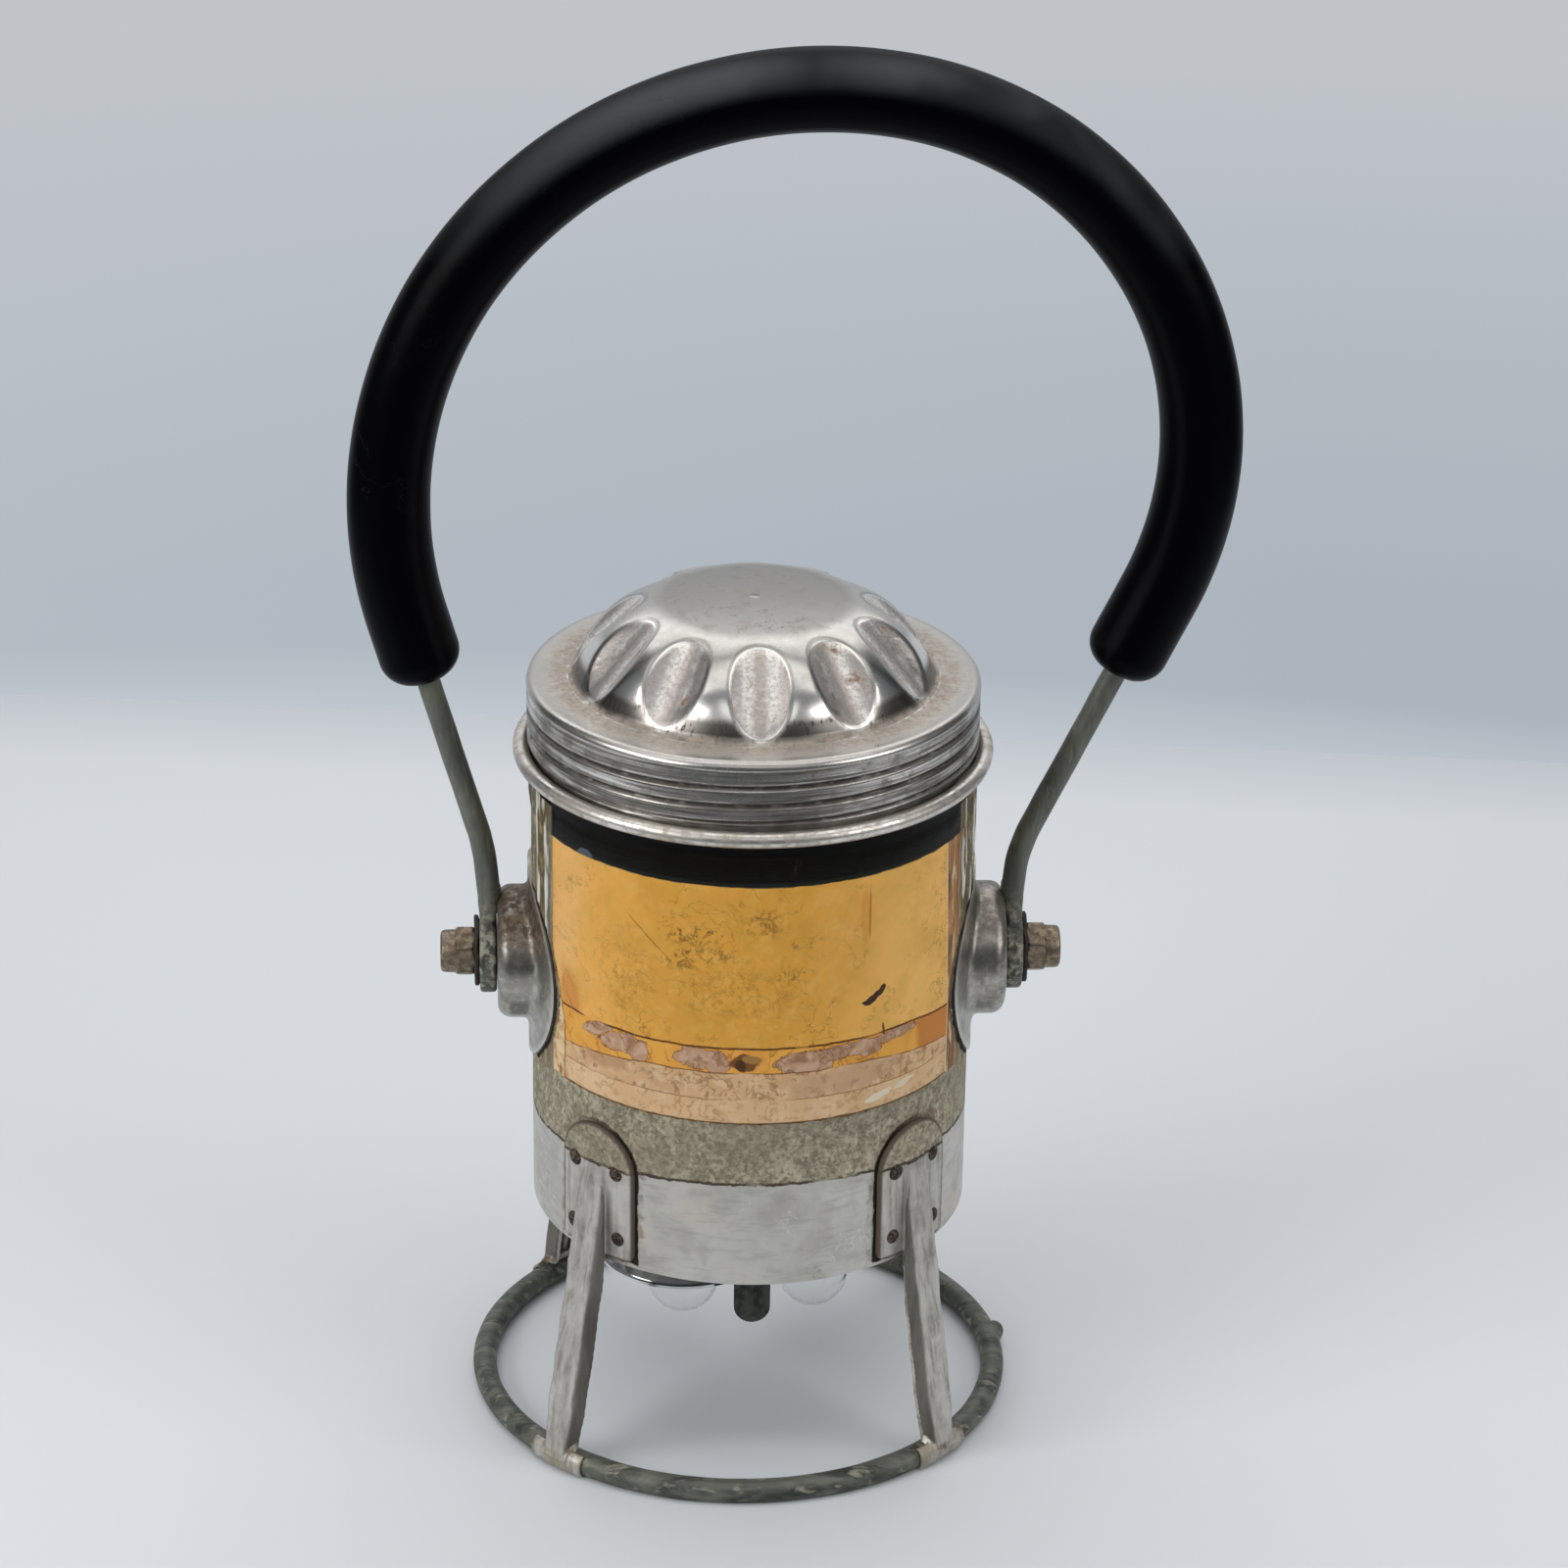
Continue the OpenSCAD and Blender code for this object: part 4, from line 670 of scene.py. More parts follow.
def plain_finish(name, color, dark, rough, metal, scale=300):
    """A simple worn finish for what is seldom seen."""
    rows = (
        (BLOTCHES, scale, 0.45, 0.12, 1, dark, min(1.0, rough + 0.15)),
        (SPECKS, scale * 2, 0.2, 0.15, 1, dark, min(1.0, rough + 0.2)),
    )
    return marked_finish(name, color, rough, metal, rows, scale * 2.5, 3.0, 0.04, 0.4)


def ear_finish():
    """Satin cups with brown mottling on their upper part and worn rims."""
    s = Surface("ear_aluminium", "a5a29a", 0.25, 1.0)
    g = s.g
    height = s.axis(2)
    s.layers(1.0, (
        (BLOTCHES, 90, 0.5, 0.16, 1, "96928a", 0.32), (BLOTCHES, 260, 0.4, 0.1, 0.6, "7f7b72", 0.42, 0.9),
        (BLOTCHES, 600, 0.35, 0.08, 0.5, "c9c6bd", 0.3, 0.95),
    ))
    left = g.span(s.axis(0), 10 * MM, -10 * MM, 0.35, 1.0)
    upper = g.times(g.span(height, (PIVOT_Z + 3) * MM, (PIVOT_Z + 11) * MM), left)
    s.layers(upper, (
        (BLOTCHES, 230, 0.66, 0.1, 0.9, "75614f", 0.5, 0.6),
        (BLOTCHES, 620, 0.5, 0.06, 0.85, "4c3c30", 0.6, 0.5),
        (SPECKS, 900, 0.26, 0.3, 0.7, "cdbfb1", 0.5, 0.5),
    ))
    s.coat(s.specks(420, 0.16, 0.18), "504841", 0.7, 0.2)
    s.coat((s.mask("rim"), 0.8), "efece6", 0.3, 0.9)
    s.bump(g.noise(s.at, 600, 3.0), 0.03, 0.35)
    return s.done()


def leg_finish():
    """Plated sheet: lengthwise streaks, flanks darkened as painted shade, pits, old glue on the plates' tops
    and rusty rims.
    """
    s = Surface("leg_metal", "c8c5bf", 0.36, 0.7)
    g = s.g
    streaks = g.noise(g.drawn(s.at, 1, 1, 0.07), 700, 4.0, 0.6)
    s.coat(g.span(streaks, 0.46, 0.7), "908c85", 0.42, 0.8)
    s.layers(1.0, (
        (BLOTCHES, 140, 0.36, 0.12, 0.5, "9d968c", 0.5, 0.6),
        (BLOTCHES, 420, 0.36, 0.08, 0.4, "d8d3ca", 0.45, 0.6),
    ))
    drawn = g.drawn(s.at, 1, 1, 0.18)
    # Painted shade: the sideways-facing flanks coloured darker and patchier than the face
    s.coat((s.mask("flank"), 0.85), "746f67", 0.45, 0.7)
    s.coat((s.mask("flank"), s.blotches(240, 0.4, 0.16, drawn), 0.8), "57524a", 0.6, 0.5)
    s.coat((s.mask("edge"), s.blotches(200, 0.62, 0.12)), "d5ccbc", 0.5, 0.5)
    s.coat((s.blotches(260, 0.3, 0.14, drawn), 0.5), "79746d", 0.5, 0.6)
    s.coat(s.specks(520, 0.18, 0.22), "4d463f", 0.75, 0.1)
    foot = s.mask("foot")
    s.layers(foot, (
        (BLOTCHES, 260, 0.45, 0.1, 0.7, "a09378", 0.6, 0.4),
        (BLOTCHES, 160, 0.25, 0.06, 1, "5b4632", 0.8, 0.0),
    ))
    old_glue(s, s.unrolled())
    near = s.effect(PLATE, s.at)
    s.coat((s.mask("plate"), g.span(near, -0.9, -0.3)), "5f5448", 0.6, 0.3)
    s.bump(g.noise(s.at, 420, 4.0), 0.08, 0.5)
    return s.done()


def wire_finish(name, base, wear, stretch):
    """Weathered zinc on steel wire: grey-green with rubbed and dark places drawn out along it."""
    s = Surface(name, base, 0.5, 0.4)
    g = s.g
    drawn = g.drawn(s.at, *stretch)
    s.layers(1.0, (
        (BLOTCHES, 150, 0.5, 0.2, 1, "5d5f56", 0.52, 0.4),
        (BLOTCHES, 300, 0.36, 0.12, 0.5, "8b8b80", 0.6, 0.35),
        (BLOTCHES, 260, 0.44, 0.1, wear, "2b2d28", 0.5, 0.35),
    ), at=drawn)
    s.coat((s.blotches(520, 0.22, 0.06, drawn), wear, 0.8), "a9a798", 0.7, 0.15)
    s.coat(s.specks(800, 0.2, 0.14), "2f2c27", 0.8, 0.1)
    eyes = g.band(s.axis(2), (PIVOT_Z - 12) * MM, (PIVOT_Z + 10) * MM, 5 * MM)
    s.layers(eyes, (
        (BLOTCHES, 420, 0.5, 0.08, 1, "4a4b43", 0.6, 0.3),
        (BLOTCHES, 560, 0.42, 0.06, 0.9, "aaa797", 0.7, 0.15),
    ))
    s.bump(g.noise(s.at, 420, 5.0, 0.6), 0.08, 0.5)
    s.bump(g.times(eyes, g.noise(s.at, 500, 4.0)), 0.25, 0.6)
    return s.done()


def grip_finish():
    """Black rubber with a painted highlight in a grey band along its upper front, and faint scuffs."""
    s = Surface("grip_rubber", "030306", 0.34, 0.0, Specular_IOR_Level=0.04)
    g = s.g
    # Painted highlight: a grey band along the grip's upper front, where the lamps would glint on the rubber
    painted_highlight = g.times(g.span(s.axis(2), 262 * MM, 297 * MM), s.mask("upper"))
    patchy = g.span(g.noise(s.at, 26, 3.0), 0.38, 0.6, 0.3, 1.0)
    s.coat((painted_highlight, patchy), "4b4d50", 0.4)
    s.layers(1.0, (
        (SCRATCHES, 30, 0.003, 0.36, 0.4, "2b2c2f", 0.6), (SPECKS, 420, 0.12, 0.12, 1, "3c3d40", 0.7),
    ))
    s.coat((s.mask("seam"), 0.8), "1c1d22", 0.6)
    s.bump(g.noise(s.at, 900, 4.0), 0.03, 0.35)
    return s.done()


def tape_finish():
    """Black tape in two turns, with lengthwise wrinkles and a dark green strip at its lower edge."""
    s = Surface("black_tape", "020203", 0.45, 0.0, Specular_IOR_Level=0.07)
    g = s.g
    folds = g.noise(g.drawn(s.at, 0.12, 0.12, 3.0), 260, 4.0, 0.6)
    s.coat(g.span(folds, 0.56, 0.66), "0e1014", 0.45)
    s.coat(g.span(s.axis(2), 142.7 * MM, 142.3 * MM), "1b211d", 0.5)
    solid, s.at = s.at, s.unrolled()
    s.coat((s.spot(-41.8, 141.4, 3.6, 1.5, 20, 1.6, 160, 0.04), 0.8), "5b656c", 0.4)
    s.coat(s.specks(700, 0.12, 0.1, solid), "4a4741", 0.8)
    s.bump(folds, 0.2, 0.6)
    return s.done()


def fray(s, value, amount, scale=140.0, rough=0.6):
    """A height or a width on the card, with a ragged border."""
    wave = s.g.minus(s.g.noise(s.at, scale, 5.0, rough), 0.5)
    return s.g.plus(value, s.g.times(wave, 2 * amount))


def below(s, value):
    """1 where a frayed value is less than 0."""
    return s.g.span(value, 0.07, -0.07)


def card_face(s, mm_u):
    """The rubbed yellow face, olive in the middle, painted lighter towards the sides and with a painted sheen
    down its left margin. Gives its crumpled places.
    """
    g = s.g
    s.coat(s.blotches(35, 0.55, 0.2), "ebaa43", 0.5)
    s.coat((s.spot(-2, 119, 27, 20, 0, 0.9, 40, 0.35), 0.5), "dda143", 0.5)
    # Painted light: the card coloured lighter towards both sides and most on the right, where more light falls
    # on it
    s.coat((g.span(g.size_of(mm_u), 24, 44), 0.8), "fabc63", 0.5)
    s.coat((g.span(mm_u, 10, 34), 0.9), "ffc66c", 0.5)
    s.layers(1.0, (
        (BLOTCHES, 120, 0.34, 0.12, 0.4, "cf9a38", 0.5), (BLOTCHES, 300, 0.36, 0.08, 0.35, "f7c569", 0.5),
    ))
    # Painted highlight: a pale sheen down the card's left margin
    s.coat((s.spot(-49, 118, 5, 26, -8, 0.9, 60, 0.6), 0.25), "fbd3a0", 0.4)
    s.coat((s.blotches(90, 0.36, 0.16), 0.3), "cb9a36", 0.5)
    s.coat((s.spot(-46.5, 107.5, 3.4, 7, 14, 1.2, 130, 0.3), 0.8), "d88a36", 0.5)
    face = g.times(s.blotches(55, 0.45, 0.12), 0.55)
    s.coat((s.scratches(95, 0.01, 0.48), face), "916b26", 0.55)
    s.layers(1.0, (
        (SCRATCHES, 210, 0.025, 0.36, 0.5, "9c7629", 0.55),
        (SCRATCHES, 48, 0.005, 0.5, 0.7, "7a5a1c", 0.55), (SPECKS, 900, 0.2, 0.16, 0.8, "7c5a22", 0.6),
    ))
    crumple = g.math("MAXIMUM", s.scratches(230, 0.045, 0.8), s.blotches(620, 0.3, 0.03))
    rubs = (
        (0.9, -14.5, 130, 6.5, 2.2, 6), (0.9, -14, 124.6, 7.5, 2.2, 12), (0.8, 0.5, 133, 3.6, 3.2, 0),
        (0.8, 9.5, 128.5, 3.4, 1.3, 5), (0.6, 8, 121, 3.4, 1.6, 0), (0.35, -5, 117, 14, 6, 0),
        (0.3, -30, 118, 8, 8, 0),
    )
    for amount, *oval in rubs:
        s.coat((s.spot(*oval, 1.0, 200, 0.3), crumple, amount, 0.8), "5f4718", 0.6)
    s.ovals(1.0, (
        (0.7, "6c4d1a", 0.6, -24, 127.6, 6.4, 0.16, -41, 1.6, 300, 0.3),
        (0.45, "dd8f3c", 0.55, 22.9, 132.5, 1.2, 6.6, 0, 0.8, 160, 0.2),
        (0.6, "9a5c22", 0.55, 24, 133, 0.25, 6.0, 0, 1.2, 260, 0.3),
    ))
    blot = (
        (24.6, 112.5, 1.9, 0.85, 25), (27.3, 114.3, 1.6, 0.75, 55), (25.9, 113.5, 1.5, 0.6, 40),
        (23.2, 112.3, 0.8, 0.35, 0),
    )
    for oval in blot:
        s.coat(s.spot(*oval, 0.9, 420), "3f2410", 0.45)
    return crumple


def card_tear(s, mm_u, mm_v):
    """Below the tear: an orange under-layer with pink-brown patches of bare board. Gives the torn part."""
    g = s.g
    tear = g.minus(fray(s, mm_v, 0.5, 170, 0.65), g.span(mm_u, 36, 54, 104.4, 102.6))
    torn = below(s, tear)
    s.coat(torn, "eeae4c", 0.6)
    s.layers(torn, (
        (BLOTCHES, 120, 0.4, 0.1, 1, "e29c42", 0.6), (SCRATCHES, 160, 0.03, 0.6, 0.7, "a3682a", 0.6),
    ))
    s.coat((torn, g.span(fray(s, mm_u, 2.0), 37, 39)), "cf8438", 0.6)
    patches = (
        (-31, 101.4, 5.6, 2.3, 6), (-26.5, 100.3, 2.4, 2.6, 0), (-37, 103, 4.6, 1.5, 22),
        (-12.6, 101.3, 5.0, 2.6, 0), (-9, 100, 2.6, 2.0, 0), (8, 100.8, 4.6, 2.6, 10),
        (12.5, 99.6, 3.0, 2.6, 0), (20, 102.0, 9, 1.7, 2), (31, 102.8, 6.2, 1.2, 3), (24.5, 101.2, 3, 1.5, 0),
    )
    board = 0.0
    for oval in patches:
        board = g.math("MAXIMUM", board, s.spot(*oval, 1.7, 230, 0.05))
    board = g.times(board, torn)
    rim = g.times(g.span(board, 0.0, 0.35), g.span(board, 1.0, 0.5))
    s.coat(board, "c39b7a", 0.65)
    s.layers(board, (
        (BLOTCHES, 420, 0.46, 0.07, 0.8, "d4b198", 0.7), (BLOTCHES, 260, 0.34, 0.06, 0.85, "9d7050", 0.7),
        (SCRATCHES, 260, 0.04, 0.6, 0.8, "7c5132", 0.7),
    ))
    s.coat(rim, "7c4a1e", 0.6)
    stain = (
        ("7a4e26", -3.2, 101.0, 3.2, 1.9), ("a57c44", -1.4, 101.8, 2.2, 1.0),
        ("4f3318", -4.0, 100.4, 1.2, 1.4),
    )
    for color, *oval in stain:
        s.coat((s.spot(*oval, 0, 1.3, 260, 0.08), torn), color, 0.65)
    s.coat((s.spot(28.0, 104.9, 0.3, 1.6, 8, 0.5, 500, 0.1), 0.9), "5a3917", 0.6)
    s.coat((g.band(tear, -0.4, 0.08, 0.08), s.blotches(90, 0.75, 0.06)), "6a3f17", 0.7)
    return torn


def card_cream(s, mm_u, mm_v):
    """The cream layer, and the strip along the card's lower edge. Gives the cream part."""
    g = s.g
    top = g.span(g.size_of(mm_u), 24, 50, 98.5, 95.6)
    edge = g.minus(fray(s, mm_v, 0.45, 200, 0.65), top)
    cream = below(s, edge)
    s.coat(cream, "dfb78a", 0.6)
    s.layers(cream, (
        (BLOTCHES, 120, 0.45, 0.12, 0.8, "d0a77c", 0.65), (BLOTCHES, 300, 0.34, 0.07, 0.7, "e8caa2", 0.65),
        (BLOTCHES, 420, 0.3, 0.05, 0.85, "a57c52", 0.7), (SCRATCHES, 180, 0.03, 0.55, 0.7, "8f6840", 0.7),
    ))
    s.ovals(cream, (
        (0.6, "c9a483", 0.65, 20, 95.4, 14, 2.8, 4, 0.9, 150, 0.2),
        (0.7, "bb8f68", 0.65, -36, 97.2, 6, 3, 0, 1.0, 150, 0.2),
    ))
    s.coat((g.band(edge, -0.16, 0.12, 0.06), s.blotches(100, 0.7, 0.06)), "8c5b2c", 0.7)
    low = g.minus(fray(s, mm_v, 0.16, 260), 92.1)
    strip = below(s, low)
    s.coat(strip, "dfb98c", 0.6)
    s.layers(strip, (
        (BLOTCHES, 160, 0.42, 0.12, 0.7, "ebcca4", 0.6), (BLOTCHES, 600, 0.3, 0.06, 0.7, "c79c6e", 0.7),
        (SCRATCHES, 200, 0.03, 0.5, 0.7, "a87d50", 0.7),
    ))
    s.ovals(strip, (
        (1, "ecdfc8", 0.7, 27, 89.3, 3.4, 0.9, 12, 1.8, 260, 0.05),
        (1, "e9d9bd", 0.7, 34, 90.4, 3.0, 0.8, 14, 1.8, 260, 0.05),
    ))
    s.coat((g.band(low, -0.1, 0.14, 0.06), s.blotches(60, 0.65, 0.06), 0.8), "95683a", 0.7)
    s.coat(g.band(fray(s, mm_v, 0.3, 300), 85.6, 86.9, 0.12), "6d4d2a", 0.7)
    return cream


def card_sides(s, mm_u, mm_v):
    """Left margin: a torn notch of bare board; right margin: brown overlapping tape."""
    g = s.g
    left = g.plus(fray(s, mm_u, 1.2, 160), g.span(mm_v, 101, 111, 48.2, 51.6))
    bare = g.times(below(s, left), g.span(fray(s, mm_v, 4, 60), 113, 110))
    s.coat(bare, "e9cfa4", 0.7)
    s.layers(bare, (
        (BLOTCHES, 330, 0.42, 0.06, 1, "c39258", 0.7), (BLOTCHES, 200, 0.25, 0.05, 1, "8f5f30", 0.7),
    ))
    s.coat((bare, s.spot(-52, 103.2, 1.8, 1.2, 0, 0.9, 400)), "59391f", 0.7)
    s.coat((g.band(left, -0.3, 0.15, 0.1), g.span(mm_v, 114, 110)), "a5682a", 0.7)
    right = g.minus(fray(s, mm_u, 0.14, 60), g.span(mm_v, 139, 104, 47.6, 49.4))
    over = g.span(right, -0.1, 0.1)
    s.coat(over, "b98550", 0.5)
    s.layers(over, (
        (BLOTCHES, 140, 0.5, 0.08, 1, "8f6238", 0.5), (BLOTCHES, 420, 0.34, 0.06, 1, "6f4c2c", 0.5),
        (BLOTCHES, 500, 0.28, 0.05, 1, "e3c9a2", 0.5),
    ), at=g.drawn(s.at, 1, 0.2, 1))
    s.coat(g.band(right, -0.15, 0.18, 0.06), "e8d3ac", 0.5)


def card_finish():
    """Yellow card, rubbed and torn in layers towards its lower edge, with no print."""
    s = Surface("old_card", "f4b046", 0.5, 0.0, Specular_IOR_Level=0.25)
    g = s.g
    s.at = s.unrolled()
    mm_u, mm_v = (g.math("DIVIDE", part, MM) for part in g.parts(s.at, 2))
    crumple = card_face(s, mm_u)
    torn = card_tear(s, mm_u, mm_v)
    cream = card_cream(s, mm_u, mm_v)
    card_sides(s, mm_u, mm_v)
    s.bump(g.noise(s.at, 900, 4.0), 0.04, 0.35)
    s.bump(crumple, -0.05, 0.4)
    s.bump(torn, -0.12, 0.5)
    s.bump(cream, -0.12, 0.5)
    return s.done()


def clear_finish():
    """Old clear tape: clear over the card, with olive wrinkles, whitish wrinkles that are partly painted
    highlight, and a dark ring by the ears that is dirt and painted shadow of the gap.
    """
    s = Surface("clear_tape", "e6d8b8", 0.2, 0.0, IOR=1.4, Specular_IOR_Level=0.25)
    g = s.g
    flat = s.unrolled()
    u, v = g.parts(flat, 2)
    off = g.size_of(g.math("DIVIDE", u, MM))
    high = g.span(v, 112 * MM, 120 * MM)
    ends = g.span(off, 52.5, 55.5)
    folds = g.noise(g.drawn(flat, 1.0, 0.1, 1.0), 420, 3.0, 0.6)
    # Whitish wrinkles at the loose ends, partly painted highlight: made stronger higher up
    pale = g.times(g.span(folds, 0.53, 0.58), g.plus(0.25, g.times(high, 0.75)))
    olive = g.span(folds, 0.5, 0.42)
    s.coat(ends, "8d7c52", 0.35)
    s.coat((ends, olive), "5e5538", 0.4)
    s.coat((ends, s.blotches(300, 0.3, 0.06, flat)), "a98f5c", 0.4)
    s.coat((ends, pale), "e6e6de", 0.25)
    up = g.minus(s.axis(2), PIVOT_Z * MM)
    from_pivot = g.math("DIVIDE", g.length(s.axis(1), up), MM)
    rag = g.plus(from_pivot, g.span(g.noise(flat, 300, 3.0), 0.3, 0.7, -0.5, 0.5))
    # Dark ring just past each ear's flange: painted shadow of the gap at the flange's edge, with some dirt
    dirt = g.span(rag, 23.9, 23.4)
    s.coat(dirt, "17120c", 0.8)
    worn = g.times(s.scratches(40, 0.004, 0.45, flat), 0.1)
    sheet = g.plus(0.3, g.plus(g.times(pale, 0.6), g.times(olive, 0.45)))
    alpha = g.plus(0.003, g.plus(worn, g.times(ends, sheet)))
    g.put(s.shader.inputs["Alpha"], g.math("MAXIMUM", alpha, dirt))
    s.bump(g.noise(g.drawn(flat, 1.0, 0.3, 1.0), 90, 3.0), 0.2, 0.5)
    return s.done()


def glass_finish():
    """Clear glass, a little dull in places."""
    s = Surface("bulb_glass", "ffffff", 0.02, 0.0, Transmission_Weight=1.0, IOR=1.3)
    s.rough = s.g.mix_value(s.blotches(180, 0.35, 0.1), 0.02, 0.09)
    return s.done()


cap_metal = cap_finish()
body_metal = body_finish()
bead_metal = marked_finish(
    "bead_aluminium", "e6e2db", 0.3, 1.0,
    (
        (BLOTCHES, 120, 0.45, 0.14, 1, "c9c2b8", 0.42, 0.9),
        (BLOTCHES, 420, 0.4, 0.08, 0.55, "9d9386", 0.6, 0.5),
        (SPECKS, 700, 0.2, 0.25, 1, "5b5046", 0.7, 0.2),
    ),
    700, 3.0, 0.04, 0.4,
)
ear_metal = ear_finish()
leg_metal = leg_finish()
wire_zinc = wire_finish("weathered_wire", "7d7f75", 0.35, (1, 1, 0.25))
ring_zinc = wire_finish("weathered_ring", "666860", 0.85, (0.3, 1, 1))
nut_metal = marked_finish(
    "tarnished_steel", "85796a", 0.38, 0.9,
    (
        (BLOTCHES, 260, 0.5, 0.14, 1, "655849", 0.45, 0.8),
        (BLOTCHES, 600, 0.4, 0.08, 0.7, "a8967f", 0.4, 0.8),
        (SPECKS, 900, 0.26, 0.3, 1, "3b3128", 0.7, 0.2),
    ),
    700, 4.0, 0.08, 0.5,
)
rivet_rust = marked_finish(
    "rusty_rivet", "3a2c22", 0.7, 0.3,
    (
        (BLOTCHES, 700, 0.5, 0.1, 1, "1f1813", 0.8, 0.1),
        (BLOTCHES, 1500, 0.35, 0.06, 0.8, "7c6b5b", 0.6, 0.5),
    ),
    1400, 4.0, 0.12, 0.7,
)
grip_rubber = grip_finish()
washer_dark = marked_finish(
    "dark_washer", "26221f", 0.8, 0.0, ((BLOTCHES, 500, 0.45, 0.1, 1, "3d362f", 0.85),), 900, 4.0, 0.15, 0.7
)
black_tape = tape_finish()
card_paper = card_finish()
tape_clear = clear_finish()
bulb_glass = glass_finish()
brass = plain_finish("tarnished_brass", "a98a4e", "6f5730", 0.4, 0.9)
fibre = plain_finish("brown_fibre", "5a3a26", "3b2518", 0.7, 0.0)
jacket = plain_finish("battery_jacket", "3c4a34", "28331f", 0.5, 0.0)
cells = plain_finish("cell_zinc", "7d7d7a", "5b5b58", 0.6, 0.4)
inner_tin = plain_finish("inner_aluminium", "aeaba6", "8a867f", 0.42, 1.0, 120)
spring_steel = plain_finish("spring_steel", "8e8e8c", "5f5d59", 0.4, 0.9)
lever_steel = plain_finish("lever_steel", "4a4d48", "2b2c29", 0.6, 0.4, 420)
mirror_tin = plain_finish("reflector_metal", "dfe3e6", "b9bcbd", 0.14, 1.0, 90)
filament_wire = plain_finish("lead_wire", "8a8884", "6b6864", 0.5, 0.7)
gasket_black = plain_finish("gasket_rubber", "1c1a18", "2e2a26", 0.8, 0.0)


# Cap


def cap_rows():
    """The cap's outer profile before its dimples and thread, from the middle to the lower edge."""
    centre_z = CROWN_Z - CROWN_CURVE
    tilt = math.asin(CROWN_EDGE_R / CROWN_CURVE)
    flank_r = (CROWN_CURVE - FLANK_CURVE) * math.sin(tilt)
    flank_z = centre_z + (CROWN_CURVE - FLANK_CURVE) * math.cos(tilt)
    foot = math.acos((SHOULDER_Z - flank_z) / FLANK_CURVE)
    corner = 0.9
    rows = [(0.0, CROWN_Z)]
    for r in np.linspace(1.5, CROWN_EDGE_R, 14):
        rows.append((r, centre_z + math.sqrt(CROWN_CURVE**2 - r * r)))
    for t in np.linspace(tilt + 0.03, foot - 0.05, 44):
        rows.append((flank_r + FLANK_CURVE * math.sin(t), flank_z + FLANK_CURVE * math.cos(t)))
    foot_r = flank_r + FLANK_CURVE * math.sin(foot)
    rows += arc(foot_r + corner, SHOULDER_Z + corner, corner, 193, 262, 6).tolist()
    for r in np.linspace(foot_r + corner + 0.4, CAP_R - RIM_CURVE, 12):
        dish = 0.18 * math.sin(math.pi * (r - foot_r) / (CAP_R - RIM_CURVE - foot_r))
        rows.append((r, SHOULDER_Z - dish))
    rows += arc(CAP_R - RIM_CURVE, SHOULDER_Z - RIM_CURVE, RIM_CURVE, 80, 0, 8).tolist()
    for z in np.linspace(SHOULDER_Z - RIM_CURVE - 0.3, SKIRT_Z + 0.25, 44):
        rows.append((CAP_R - 0.1, z))
    rows.append((CAP_R - 0.25, SKIRT_Z))
    return np.array(rows), flank_r, flank_z


def groove_at(z, angle):
    """How deep the thread is at a height and an angle, from 0 to 1."""
    turn = (z - GROOVE_Z) / PITCH - (angle + math.pi / 2) / (2 * math.pi)
    off = np.abs(turn - np.round(turn)) * PITCH
    depth = np.where(off < GROOVE_W / 2, (1 + np.cos(2 * math.pi * off / GROOVE_W)) / 2, 0)
    low = np.clip((z - SKIRT_Z) / 0.8, 0, 1)
    high = np.clip((SHOULDER_Z - 3.4 - z) / 0.8, 0, 1)
    return depth * low * high


